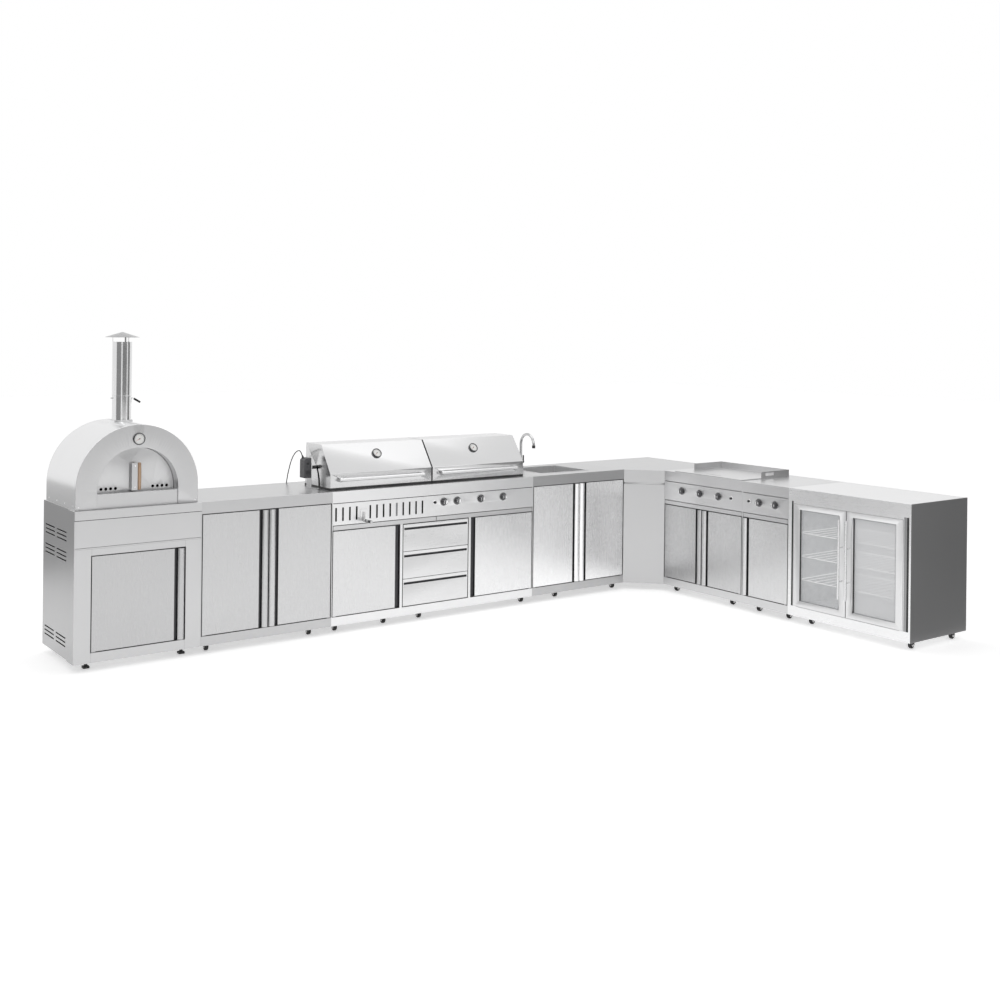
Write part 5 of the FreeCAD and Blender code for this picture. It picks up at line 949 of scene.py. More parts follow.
dress("oven_door", oven_steel, 0.0008, keep=lambda p: not wooden_point(p), name="oven_door_plate")
form = bmesh.new()
profile = [(0.0, 0.0), (0.0085, 0.0), (0.0108, 0.003)]
for step in range(GRIP_STEPS + 1):
    share = step / GRIP_STEPS
    profile.append((0.0108 + 0.0018 * math.sin(math.pi * share) ** 0.8, 0.004 + (GRIP_LENGTH - 0.008) * share))
profile += [(0.0085, GRIP_LENGTH), (0.0, GRIP_LENGTH)]
lathe(form, profile, (OVEN_X + 0.0162, GRIP_FRONT + GRIP_HALF, GRIP_LOW), (0, 0, 1), 32)
made_piece("oven_door_grip", form, "oven_door", [wood])
grip_screws = [(OVEN_X - 0.012, GRIP_FRONT + 0.0002, z) for z in (GRIP_LOW + 0.018, GRIP_LOW + GRIP_LENGTH - 0.018)]
copies(
    "oven_grip_screws", screws, grip_screws, [(0, -1, 0)] * 2, "oven_door",
    {"Head radius": 0.0038, "Head height": 0.0012},
)
print("oven arch, door, grip and gauge")

# %% [markdown]
# ## Flue
# The polished pipe mirrors the room in long upright stripes, so its wall has to be truly round: pipe, seam ring
# and cone cap are turned from one profile each. The damper's grip is a coil of wire that stays cool to the
# touch; it is a tube along a helix.

# %% Flue
FLUE_Y = 1.225
PIPE_LOW, PIPE_HIGH = 1.4101, 1.880
PIPE_OUT, PIPE_IN = 0.0575, 0.0555
SEAM_LOW, SEAM_HIGH, SEAM_OUT = 1.550, 1.558, 0.059
form = bmesh.new()
pipe_wall = [
    (PIPE_IN, PIPE_LOW), (PIPE_OUT, PIPE_LOW), (PIPE_OUT, SEAM_LOW), (SEAM_OUT, SEAM_LOW + 0.001),
    (SEAM_OUT, SEAM_HIGH - 0.001), (PIPE_OUT, SEAM_HIGH), (PIPE_OUT, PIPE_HIGH), (PIPE_IN, PIPE_HIGH),
    (PIPE_IN, PIPE_LOW),
]
lathe(form, pipe_wall, (OVEN_X, FLUE_Y, 0), (0, 0, 1), 96)
CAP_LOW, CAP_TOP, CAP_OUT = 1.908, 1.940, 0.100
cap_sheet = [
    (0.0, CAP_TOP - 0.0016), (CAP_OUT - 0.006, CAP_LOW + 0.0018), (CAP_OUT - 0.0025, CAP_LOW + 0.0006),
    (CAP_OUT, CAP_LOW + 0.0004), (CAP_OUT, CAP_LOW + 0.0020), (0.006, CAP_TOP - 0.0004), (0.0, CAP_TOP),
]
lathe(form, cap_sheet, (OVEN_X, FLUE_Y, 0), (0, 0, 1), 96, 1)
for degrees in (30, 150, 270):
    spin = Matrix.Rotation(math.radians(degrees), 3, "Z")
    slab(
        form, (OVEN_X + PIPE_IN - 0.0014, FLUE_Y - 0.005, PIPE_HIGH - 0.040),
        (OVEN_X + PIPE_IN + 0.0002, FLUE_Y + 0.005, CAP_LOW + 0.013), 0, spin, (OVEN_X, FLUE_Y, 0),
    )
bmesh.ops.remove_doubles(form, verts=form.verts, dist=MERGE)
flue = made_piece("oven_flue", form, "kitchen", [flue_polish, cap_polish])
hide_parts("oven_chimney")
print("flue, seam ring and cap")

# %% Damper
DAMPER_Z = 1.542
DAMPER_END = Vector((OVEN_X + 0.0635, FLUE_Y, DAMPER_Z))
DAMPER_WAY = Vector((math.sin(math.radians(120)), 0, math.cos(math.radians(120))))
COIL_TURNS, TURN_STEPS, COIL_PITCH = 11, 12, 0.0043
SHAFT = [(0.0, 0.0), (0.004, 0.0), (0.004, 0.139), (0.0, 0.139)]
DISC = [(0.0, 0.0), (0.0525, 0.0), (0.0525, 0.002), (0.0, 0.002)]
form = bmesh.new()
lathe(form, SHAFT, (OVEN_X - 0.0695, FLUE_Y, DAMPER_Z), (1, 0, 0), 20)
lathe(form, DISC, (OVEN_X, FLUE_Y + 0.001, DAMPER_Z), (0, -1, 0), 40)
tube_along(form, [DAMPER_END, DAMPER_END + DAMPER_WAY * 0.058], 0.0035, 12)
made_piece("flue_damper_plate", form, "flue_damper", [wire_chrome])
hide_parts("flue_damper")
form = bmesh.new()
flat_side = Vector((0, 1, 0))
other_side = DAMPER_WAY.cross(flat_side)
helix = []
for step in range(TURN_STEPS * COIL_TURNS + 1):
    turns = step / TURN_STEPS
    angle = 2 * math.pi * turns
    helix.append(
        DAMPER_END + DAMPER_WAY * (0.012 + COIL_PITCH * turns)
        + (flat_side * math.cos(angle) + other_side * math.sin(angle)) * 0.0052
    )
tube_along(form, helix, 0.0016, 8)
made_piece("flue_damper_coil_grip", form, "flue_damper", [black_plastic])
print("damper coil points", len(helix))

# %% [markdown]
# ## Tap
# A swan neck is one tube on a half circle. Following the curve with a tube gives a rounder neck than the solid's
# facets, and the aerator at its tip is a small turned piece.

# %% Tap
TAP = Vector((1.100, 1.447, 0))
NECK_LOW, NECK_SPRING, NECK_REACH = 0.9823, 1.100, 0.080
NOZZLE = [(0.0, 0.0), (0.0100, 0.0), (0.0122, 0.0012), (0.013, 0.003), (0.013, 0.0195), (0.0120, 0.022), (0.0, 0.022)]
LEVER_HUB = [(0.0, 0.0), (0.0082, 0.0), (0.009, 0.001), (0.009, 0.0125), (0.0078, 0.014), (0.0, 0.014)]
neck = [TAP + Vector((0, 0, NECK_LOW + (NECK_SPRING - NECK_LOW) * k / 6)) for k in range(7)]
for step in range(1, 33):
    angle = math.pi * step / 32
    neck.append(
        Vector((TAP.x, TAP.y - NECK_REACH + NECK_REACH * math.cos(angle), NECK_SPRING + NECK_REACH * math.sin(angle)))
    )
form = bmesh.new()
tube_along(form, neck, 0.011, 28)
nozzle_low = Vector((TAP.x, TAP.y - 2 * NECK_REACH, 1.078))
lathe(form, NOZZLE, nozzle_low, (0, 0, 1), 32, 1)
made_piece("tap_swan_neck", form, "tap_spout", [tap_chrome, black_plastic])
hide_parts("tap_spout")
form = bmesh.new()
lathe(form, LEVER_HUB, (TAP.x + 0.0153, TAP.y, 0.960), (1, 0, 0), 32)
slab(form, (TAP.x + 0.0205, TAP.y - 0.0048, 0.960), (TAP.x + 0.029, TAP.y + 0.0048, 1.0115))
made_piece("tap_lever_blade", form, "tap_lever", [black_plastic], 0.0018, 3)
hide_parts("tap_lever")
print("tap neck points", len(neck))

# %% Sink waste
WASTE = Vector((1.180, 1.205, 0.7302))
WASTE_SLOTS = 12
FLANGE = [(0.0, 0.0), (0.012, 0.0), (0.016, 0.0015), (0.034, 0.0008), (0.052, 0.0018), (0.054, 0.0), (0.0, -0.0)]
form = bmesh.new()
lathe(form, FLANGE, WASTE, (0, 0, 1), 40)
made_piece("sink_waste_flange", form, "kitchen", [chrome])
copies(
    "sink_waste_slots", ticks, [WASTE + Vector((0, 0, 0.0016))] * WASTE_SLOTS, [(0, 0, 1)] * WASTE_SLOTS, "kitchen",
    {"Width": 0.003, "Length": 0.013, "Thickness": 0.0006, "Reach": 0.0255},
    [2 * math.pi * k / WASTE_SLOTS for k in range(WASTE_SLOTS)],
)
print("waste slots", WASTE_SLOTS)

# %% [markdown]
# ## Fridge doors
# Each door is a folded frame with a magnetic gasket round the pane; one side of the gasket is black and doubled as
# painted shade. The pane itself is part-transparent, so the wire shelves and the pale liner show through it; the
# liner and shelves glow a little as painted light, and the right pane is brighter as a painted reflection. Thin
# dark strips on the carcass paint the shade in the channels beside the doors.

# %% Fridge doors
STILE = 0.052
GRIP_LIFT, GRIP_DROP, GRIP_OFF, GRIP_RADIUS = 0.118, 0.055, 0.040, 0.008
GRIP_MOUNTS, GRIP_CHAMFER = (0.235, 0.458), 0.0016
GRIP_POST = [(0.0, 0.0), (0.0072, 0.0), (0.0072, 0.0016), (0.0046, 0.0030), (0.0042, GRIP_OFF), (0.0, GRIP_OFF)]
GASKET, GASKET_BACK, GASKET_FRONT = 0.0035, 1.9013, 1.9075
for side in ("left", "right"):
    node = f"fridge_{side}_door"
    dress(node, fridge_steel, 0.0012, keep=lambda p: p.x > SHORT_FRONT - 0.0002, name=f"fridge_{side}_frame")
    door_low, door_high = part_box(node)
    grip_y = door_low.y + STILE / 2 if side == "left" else door_high.y - STILE / 2
    form = bmesh.new()
    bar_low, bar_high = door_low.z + GRIP_LIFT, door_high.z - GRIP_DROP
    bar_length, bar_end = bar_high - bar_low, GRIP_RADIUS - GRIP_CHAMFER
    rounded_bar = [
        (0.0, 0.0), (bar_end, 0.0), (GRIP_RADIUS, GRIP_CHAMFER), (GRIP_RADIUS, bar_length - GRIP_CHAMFER),
        (bar_end, bar_length), (0.0, bar_length),
    ]
    lathe(form, rounded_bar, (SHORT_FRONT - GRIP_OFF, grip_y, bar_low), (0, 0, 1))
    for rise in GRIP_MOUNTS:
        lathe(form, GRIP_POST, (SHORT_FRONT + 0.0004, grip_y, door_low.z + rise), (-1, 0, 0), 32)
    grip = made_piece(f"fridge_{side}_grip", form, node, [bar_steel])
    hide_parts(node)
    pane = f"fridge_{side}_glass"
    dress(pane, pane_glass[side], 0.0)
    low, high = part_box(pane)
    form = bmesh.new()
    lip, x0, x1 = GASKET, GASKET_BACK, GASKET_FRONT
    slab(form, (x0, low.y, low.z), (x1, low.y + lip, high.z))
    # Painted shade: the gasket's far side is black and twice as wide, for the shaded wall of the pane's recess.
    slab(form, (x0, high.y - 2 * lip, low.z), (x1, high.y, high.z), 1)
    slab(form, (x0, low.y + lip, low.z), (x1, high.y - lip, low.z + lip))
    slab(form, (x0, low.y + lip, high.z - lip), (x1, high.y - lip, high.z))
    made_piece(f"fridge_{side}_gasket", form, node, [level_grey, black_rubber])
CHANNEL_LOW, CHANNEL_HIGH, CHANNEL_PROUD = 0.118, 0.8330, 0.0006
SUNK = 0.0002
# Painted shade: dark strips on the carcass for the channels beside the fridge doors.
form = bmesh.new()
for start, end, material in ((-1.4760, -1.4552, 1), (-1.4905, -1.4760, 0), (-0.5765, -0.5630, 0)):
    near, far = (SHORT_FRONT - CHANNEL_PROUD, start, CHANNEL_LOW), (SHORT_FRONT + SUNK, end, CHANNEL_HIGH)
    slab(form, near, far, material)
made_piece("fridge_channels_painted_shade", form, "kitchen", [black_rubber, end_shade_and_seam_steel])
print("fridge doors", 2)

# %% [markdown]
# ## Rotisserie
# The motor is a moulded box with a rocker switch and cooling slots. It hangs on a steel plate, and its lead
# leaves through a tapered strain relief.

# %% Rotisserie
MOTOR_LOW = Vector((-0.950, 1.110, 0.992))
MOTOR_HIGH = Vector((-0.900, 1.180, 1.124))
MOTOR_CHAMFER, COOLING_SLOTS = 0.014, 5
motor_outline = [
    (MOTOR_LOW.x, MOTOR_LOW.z), (MOTOR_HIGH.x, MOTOR_LOW.z), (MOTOR_HIGH.x, MOTOR_HIGH.z),
    (MOTOR_LOW.x + MOTOR_CHAMFER, MOTOR_HIGH.z), (MOTOR_LOW.x, MOTOR_HIGH.z - MOTOR_CHAMFER),
]
form = bmesh.new()
near_side = [form.verts.new((x, MOTOR_LOW.y, z)) for x, z in motor_outline]
far_side = [form.verts.new((x, MOTOR_HIGH.y, z)) for x, z in motor_outline]
form.faces.new(near_side)
form.faces.new(far_side)
for k in range(len(motor_outline)):
    after = (k + 1) % len(motor_outline)
    form.faces.new((near_side[k], near_side[after], far_side[after], far_side[k]))
housing = made_piece("motor_housing", form, "kitchen", [motor_shell], 0.0035, 3)
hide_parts("rotisserie_motor")
print("motor housing")

# %% Spit
SPIT = Vector((-0.8997, 1.145, 1.058))
SPIT_LENGTH, SPIT_RADIUS = 0.8337, 0.0058
HAND_KNOB = [
    (0.0, 0.0), (0.0095, 0.0), (0.0118, 0.0022), (0.0118, 0.0075), (0.0098, 0.0110), (0.0118, 0.0146),
    (0.0118, 0.0238), (0.0095, 0.0260), (0.0, 0.0260),
]


def fork_point(p):
    """Inner points of the meat forks: everything on the spit but its rod and its hand knob."""
    return p.x > -0.66 and math.hypot(p.y - SPIT.y, p.z - SPIT.z) > 0.0066


dress("spit_rod", wire_chrome, 0.0010, keep=fork_point, name="spit_forks")
form = bmesh.new()
rod = [(0.0, 0.0), (SPIT_RADIUS, 0.0), (SPIT_RADIUS, SPIT_LENGTH - 0.006), (0.0, SPIT_LENGTH)]
lathe(form, rod, SPIT, (1, 0, 0), 24)
spit_bar = made_piece("spit_bar", form, "spit_rod", [wire_chrome])
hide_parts("spit_rod")
form = bmesh.new()
lathe(form, HAND_KNOB, SPIT + Vector((0.024, 0, 0)), (1, 0, 0), 36)
made_piece("spit_hand_knob", form, "spit_rod", [black_plastic])
print("spit, forks and hand knob")

# %% Motor slots and switch
slots_at = [Vector((MOTOR_LOW.x + 0.011 + 0.007 * k, MOTOR_LOW.y + 0.0002, 1.030)) for k in range(COOLING_SLOTS)]
copies(
    "motor_cooling_slots", ticks, slots_at, [(0, -1, 0)] * COOLING_SLOTS, "kitchen",
    {"Width": 0.0026, "Length": 0.024, "Thickness": 0.0004, "Reach": 0.0},
)
form = bmesh.new()
slab(form, (-0.936, MOTOR_LOW.y - 0.0001, 1.080), (-0.916, MOTOR_LOW.y + 0.004, 1.095))
made_piece("motor_switch_frame", form, "kitchen", [black_plastic], 0.0008)
print("motor slots", COOLING_SLOTS)

# %% Charcoal crank
CRANK_X, CRANK_GRIP_Z = -0.6272, 0.767 - 0.055 + 0.008
SLEEVE = [
    (0.0, 0.0), (0.0084, 0.0), (0.0102, 0.002), (0.0102, 0.02), (0.0094, 0.045), (0.0102, 0.07), (0.0098, 0.0735),
    (0.0, 0.0735),
]
dress("charcoal_crank", tap_chrome, 0.0012)
crank_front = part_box("charcoal_crank")[0].y
form = bmesh.new()
lathe(form, SLEEVE, (CRANK_X, crank_front + 0.0002, CRANK_GRIP_Z), (0, 1, 0), 32)
made_piece("charcoal_crank_sleeve", form, "charcoal_crank", [dark_chrome_and_shade])
print("crank dressed")

# %% [markdown]
# ## Castors
# One castor is built in a node tree from a few named sizes: a tyre with a rounded tread, a hub, two cheeks, a
# crown, a swivel race and a stem. The tree puts that castor on every floor point, turned to follow its wing. Each
# material has its own tree, so a tyre and its fork stay separate pieces. The oven's four feet are another shape
# and are copied from the solid.

# %% Castor trees
CASTOR_SIZES = {
    "Wheel radius": 0.025, "Wheel width": 0.020, "Cheek": 0.0038, "Reach": 0.0125, "Crown": 0.053, "Stem top": 0.1072,
}
TREAD_HEIGHT, TREAD_ROUND = 0.44, 0.42
HUB_RADIUS, HUB_WIDTH = 0.6, 0.82
ALONG_AXLE = (0, math.pi / 2, 0)


def triple(tree, x=0.0, y=0.0, z=0.0):
    """A vector from three numbers or sockets."""
    return add_node(tree, "ShaderNodeCombineXYZ", X=x, Y=y, Z=z).outputs[0]


def moved(tree, item, place, turn=(0, 0, 0)):
    """A shape turned and then moved to a place."""
    return add_node(
        tree, "GeometryNodeTransform", Geometry=item.outputs[0], Translation=triple(tree, **place), Rotation=turn
    ).outputs[0]


def tyre_shape(tree, sizes):
    """A ring with a rounded tread, swept from a filleted section, with its axle along X."""
    wheel, wide = sizes["Wheel radius"], sizes["Wheel width"]
    tread = maths(tree, "MULTIPLY", wheel, TREAD_HEIGHT)
    ring_radius = maths(tree, "SUBTRACT", wheel, maths(tree, "MULTIPLY", tread, 0.5))
    ring = add_node(tree, "GeometryNodeCurvePrimitiveCircle", {"mode": "RADIUS"}, Resolution=40, Radius=ring_radius)
    section = add_node(
        tree, "GeometryNodeCurvePrimitiveQuadrilateral", {"mode": "RECTANGLE"}, Width=tread, Height=wide
    )
    soft = add_node(
        tree, "GeometryNodeFilletCurve", {"mode": "POLY"}, Curve=section.outputs[0], Count=5,
        Radius=maths(tree, "MULTIPLY", tread, TREAD_ROUND),
    )
    tyre = add_node(tree, "GeometryNodeCurveToMesh", Curve=ring.outputs[0])
    feed(tree, tyre, {"Profile Curve": soft.outputs[0]})
    return moved(tree, tyre, {"z": wheel}, ALONG_AXLE)


def fork_shape(tree, sizes):
    """Two rounded cheeks, a crown, a swivel race, a stem and the axle's bolt heads."""
    wheel, wide, cheek, reach, crown, top = (sizes[label] for label in CASTOR_SIZES)
    parts = []

    def add_part(kind, place, turn=(0, 0, 0), **inputs):
        parts.append(moved(tree, add_node(tree, kind, **inputs), place, turn))

    cheek_out = maths(tree, "MULTIPLY_ADD", wide, 0.5, 0.0021)
    rise = maths(tree, "SUBTRACT", crown, wheel)
    middle = maths(tree, "MULTIPLY_ADD", rise, 0.5, wheel)
    depth = maths(tree, "MULTIPLY", reach, 2.0)
    for side in (-1, 1):
        x = maths(tree, "MULTIPLY", cheek_out, side)
        add_part(CUBE, {"x": x, "z": middle}, Size=triple(tree, cheek, depth, rise))
        add_part(CYLINDER, {"x": x, "z": wheel}, ALONG_AXLE, Vertices=32, Radius=reach, Depth=cheek)
    crown_size = triple(tree, maths(tree, "ADD", wide, 0.0076), depth, cheek)
    add_part(CUBE, {"z": maths(tree, "ADD", crown, 0.0019)}, Size=crown_size)
    add_part(CYLINDER, {"z": maths(tree, "ADD", crown, 0.0062)}, Vertices=36, Radius=0.0175, Depth=0.0052)
    stem = maths(tree, "SUBTRACT", top, crown)
    stem_middle = maths(tree, "MULTIPLY_ADD", stem, 0.5, crown)
    add_part(CYLINDER, {"z": stem_middle}, Vertices=24, Radius=0.0076, Depth=stem)
    bolt = maths(tree, "ADD", wide, 0.0132)
    add_part(CYLINDER, {"z": wheel}, ALONG_AXLE, Vertices=6, Radius=0.0048, Depth=bolt)
    return add_node_list(tree, "GeometryNodeJoinGeometry", parts)


def hub_shape(tree, sizes):
    """The wheel's moulded hub, a little narrower than the tyre."""
    wheel, wide = sizes["Wheel radius"], sizes["Wheel width"]
    hub = add_node(
        tree, CYLINDER, Vertices=36, Radius=maths(tree, "MULTIPLY", wheel, HUB_RADIUS),
        Depth=maths(tree, "MULTIPLY", wide, HUB_WIDTH),
    )
    return moved(tree, hub, {"z": wheel}, ALONG_AXLE)


tyres = copies_tree("castor_tyres", CASTOR_SIZES, tyre_shape, black_rubber)
forks = copies_tree("castor_forks", CASTOR_SIZES, fork_shape, zinc)
hubs = copies_tree("castor_hubs", CASTOR_SIZES, hub_shape, black_plastic)
print("castor trees", 3)

# %% Castors
LONG_WHEELS = (-1.680, -0.980, -0.790, -0.420, -0.136, 0.750, 1.070, 1.640)
LONG_ROWS = (0.980, 1.420)
CORNER_WHEELS = ((1.990, 0.985), (2.425, 1.420))
SHORT_WHEELS = (0.613, 0.042, -0.211, -0.480, -0.676, -1.455)
SHORT_ROWS = (1.985, 2.425)
wheel_points = [(x, y, 0) for x in LONG_WHEELS for y in LONG_ROWS] + [(x, y, 0) for x, y in CORNER_WHEELS]
wheel_spins = [0.0] * len(wheel_points)
wheel_points += [(x, y, 0) for x in SHORT_ROWS for y in SHORT_WHEELS]
wheel_spins += [math.pi / 2] * (len(wheel_points) - len(wheel_spins))
upwards = [(0, 0, 1)] * len(wheel_points)
for name, tree_and_names in (("castor_tyres", tyres), ("castor_forks", forks), ("castor_hubs", hubs)):
    piece = copies(name, tree_and_names, wheel_points, upwards, "kitchen", None, wheel_spins)
    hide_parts("castors")
dress("castors", black_plastic, 0.0016, 3, keep=lambda p: p.x < -1.75, name="stand_feet")
print("castors", len(wheel_points))

# %% [markdown]
# ## Lead and plug
# The motor's lead is one smooth spline: straight out of the strain relief, over the worktop's back edge, down
# behind the cabinet and into a small coil on the floor. The coil is a spiral in, half a turn of climbing, and a
# spiral out on top of the first layer.

# %% Lead
LEAD_RADIUS = 0.00325
LEAD_EXIT = Vector((-0.936, 1.17371, 1.13792))
LEAD_WAY = Vector((0, 0.642788, 0.766044))
LEAD_FALL = [
    (-0.931, 1.240, 1.164), (-0.924, 1.293, 1.146), (-0.915, 1.345, 1.116), (-0.905, 1.395, 1.076),
    (-0.894, 1.440, 1.028), (-0.884, 1.483, 0.975), (-0.876, 1.517, 0.915), (-0.870, 1.535, 0.845),
    (-0.867, 1.545, 0.760), (-0.8655, 1.550, 0.668), (-0.865, 1.5525, 0.575), (-0.8655, 1.5545, 0.482),
    (-0.867, 1.557, 0.390), (-0.869, 1.562, 0.300), (-0.872, 1.571, 0.212), (-0.877, 1.587, 0.132),
    (-0.886, 1.615, 0.068), (-0.905, 1.657, 0.026), (-0.938, 1.690, LEAD_RADIUS), (-0.979, 1.70565, LEAD_RADIUS),
    (-1.0135, 1.70565, LEAD_RADIUS),
]
COIL_MIDDLE = Vector((-1.020, 1.665, 0))
COIL_RADIUS = 0.037
LAYER_STEP = 0.0073
LAYER_TURNS = 1
STEPS_A_TURN = 24
COIL_TAIL = 0.040


def coil_point(turns):
    """The coil's centre line: inward below, half a turn of climbing, outward above."""
    climb = min(max(turns - LAYER_TURNS, 0), 0.5)
    inward = min(turns, LAYER_TURNS) + climb - 2 * climb * climb
    outward = max(turns - LAYER_TURNS - 0.5, 0)
    radius = COIL_RADIUS + LAYER_STEP / 2 - LAYER_STEP / LAYER_TURNS * (inward - outward)
    angle = math.pi / 2 + 2 * math.pi * turns
    height = LEAD_RADIUS + LAYER_STEP * (1 - math.cos(2 * math.pi * climb)) / 2
    return COIL_MIDDLE + Vector((radius * math.cos(angle), radius * math.sin(angle), height))


lead_route = [LEAD_EXIT, LEAD_EXIT + LEAD_WAY * 0.035] + [Vector(point) for point in LEAD_FALL]
coil_steps = int(STEPS_A_TURN * (2 * LAYER_TURNS + 0.5))
lead_route += [coil_point(step / STEPS_A_TURN) for step in range(coil_steps + 1)]
lead_end = lead_route[-1] + Vector((COIL_TAIL, 0, 0))
lead_route.append(lead_end)
line = bpy.data.curves.new("motor_lead", "CURVE")
line.dimensions = "3D"
spline = line.splines.new("NURBS")
spline.points.add(len(lead_route) - 1)
for point, place in zip(spline.points, lead_route):
    point.co = (*place, 1)
spline.order_u = 3
spline.use_endpoint_u = True
spline.resolution_u = 8
line.bevel_depth = LEAD_RADIUS
line.bevel_resolution = 5
line.use_fill_caps = True
line.materials.append(lead_rubber)
lead = bpy.data.objects.new("motor_lead", line)
scene.collection.objects.link(lead)
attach(lead, "kitchen")
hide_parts("motor_cord", "cord_coil")

# %% Plug and strain relief
PLUG_NECK, PLUG_LENGTH, PLUG_WIDTH = 0.014, 0.034, 0.028
BLADE_LENGTH, BLADE_PITCH, BLADE_WIDE, BLADE_THICK = 0.016, 0.0127, 0.006, 0.0015
RIBS = 4
form = bmesh.new()
neck_rings = [(0.0, 0.0), (0.0036, 0.0), (0.0046, 0.0015)]
for rib in range(RIBS):
    start, wider = 0.0022 + 0.003 * rib, 0.0004 * rib
    neck_rings += [(0.0044 + wider, start), (0.0058 + wider, start + 0.0008), (0.0044 + wider, start + 0.0022)]
neck_rings += [(0.0062, PLUG_NECK + 0.001), (0.0, PLUG_NECK + 0.001)]
lathe(form, neck_rings, lead_end, (1, 0, 0), 28)
body_low = lead_end + Vector((PLUG_NECK, -PLUG_WIDTH / 2, -lead_end.z + 0.0002))
body_high = lead_end + Vector((PLUG_NECK + PLUG_LENGTH, PLUG_WIDTH / 2, lead_end.z - 0.0002))
slab(form, body_low, body_high)
plug_body = made_piece("plug_body", form, "kitchen", [black_plastic], 0.0036, 4)
form = bmesh.new()
for side in (-0.5, 0.5):
    middle = lead_end.y + BLADE_PITCH * side
    slab(
        form, (body_high.x - 0.001, middle - BLADE_THICK / 2, lead_end.z - BLADE_WIDE / 2),
        (body_high.x + BLADE_LENGTH, middle + BLADE_THICK / 2, lead_end.z + BLADE_WIDE / 2),
    )
plug_blades = made_piece("plug_blades", form, "kitchen", [brass], 0.0003)
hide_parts("cord_plug")
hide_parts("cord_plug")
form = bmesh.new()
relief = [(0.0, -0.006), (0.0078, -0.006), (0.0078, 0.0035)]
for rib in range(RIBS):
    start, slim = 0.004 + 0.0042 * rib, 0.0007 * rib
    relief += [(0.0066 - slim, start), (0.0072 - 0.0008 * rib, start + 0.0012), (0.0064 - slim, start + 0.0032)]
relief += [(0.0040, 0.0215), (0.0, 0.0215)]
lathe(form, relief, LEAD_EXIT - LEAD_WAY * 0.0205, LEAD_WAY, 28)
made_piece("motor_strain_relief", form, "kitchen", [black_rubber])
print("lead points", len(lead_route))

# %% [markdown]
# ## Screws and the level window
# The photograph shows a few fastenings: along the oven's side, at the feet of its arch and at the end of the
# worktop and plinth. One tree places them all. The grey window in the ninth slot of the control panel shows the
# drip level.

# %% Screws
side_screws = [((-2.4972, 0.965 + 0.150 * k, 0.944), (-1, 0, 0)) for k in range(4)]
arch_screws = [((x, 0.9248, 0.936), (0, -1, 0)) for x in (-2.478, -1.782)]
end_screws = [((x, -1.5033, z), (0, -1, 0)) for x in (1.930, 2.200, 2.480) for z in (0.093, 0.902)]
all_screws = side_screws + arch_screws + end_screws
copies("cabinet_screws", screws, [place for place, _ in all_screws], [way for _, way in all_screws], "kitchen")
form = bmesh.new()
slab(form, (-0.3752, 0.8962, 0.727), (-0.3672, 0.8982, 0.815))
made_piece("level_window", form, "kitchen", [level_grey], 0.0006)
print("screws", len(all_screws))

# %% [markdown]
# ## Seams and gaps
# The oven's stand has a worktop edge that stands a little proud, with a black strip under it as its painted shadow,
# and fine seams where its apron and plinth meet the posts. The gap round a door is only 3 mm wide, and what shows
# from the front is its dark line, so a thin black strip on the carcass follows each opening as the gap's painted
# shadow.

# %% Stand edge and seams
STAND_LEFT, STAND_RIGHT = -2.5094, -1.7506
LEDGE_LOW, LEDGE_TOP, LEDGE_PROUD, LEDGE_SHADOW = 0.868, 0.9194, 0.005, 0.0036
PLINTH_BAND, APRON_LOW, APRON_END = (0.052, 0.1095), 0.700, 0.6605
SEAM_WIDE, SEAM_PROUD = 0.0011, 0.0003
POST_SEAMS = (-2.4095, -1.8515)
seam_near, seam_far = LONG_FRONT - SEAM_PROUD, LONG_FRONT + SUNK
form = bmesh.new()
slab(form, (STAND_LEFT, LONG_FRONT - LEDGE_PROUD, LEDGE_LOW), (STAND_RIGHT, seam_far, LEDGE_TOP))
made_piece("stand_worktop_edge", form, "kitchen", [stand_steel], 0.0012)
form = bmesh.new()
# Painted shadow: a black strip under the proud edge; the seams at the posts and apron are real joints.
slab(form, (STAND_LEFT, LONG_FRONT - 0.0006, LEDGE_LOW - LEDGE_SHADOW), (STAND_RIGHT, seam_far, LEDGE_LOW))
slab(form, (STAND_LEFT, seam_near, APRON_LOW), (STAND_RIGHT, seam_far, APRON_LOW + SEAM_WIDE), 1)
for x in POST_SEAMS:
    for low, high in (PLINTH_BAND, (APRON_END, APRON_LOW)):
        slab(form, (x, seam_near, low), (x + SEAM_WIDE, seam_far, high), 1)
made_piece("stand_seams_and_ledge_shadow", form, "kitchen", [black_rubber, end_shade_and_seam_steel])
print("stand edge and seams")

# %% Dark lines round the doors
OPENINGS = [
    ("stand_door", "stand_door"), ("storage_left_door", "storage_right_door"), ("grill_left_door", "grill_left_door"),
    ("bottom_drawer", "top_drawer"), ("grill_right_door", "grill_right_door"), ("sink_left_door", "sink_right_door"),
    ("griddle_right_door", "griddle_left_door"), ("burner_door", "burner_door"),
]
GAP, STRIP, STRIP_PROUD = 0.0030, 0.0028, 0.0003
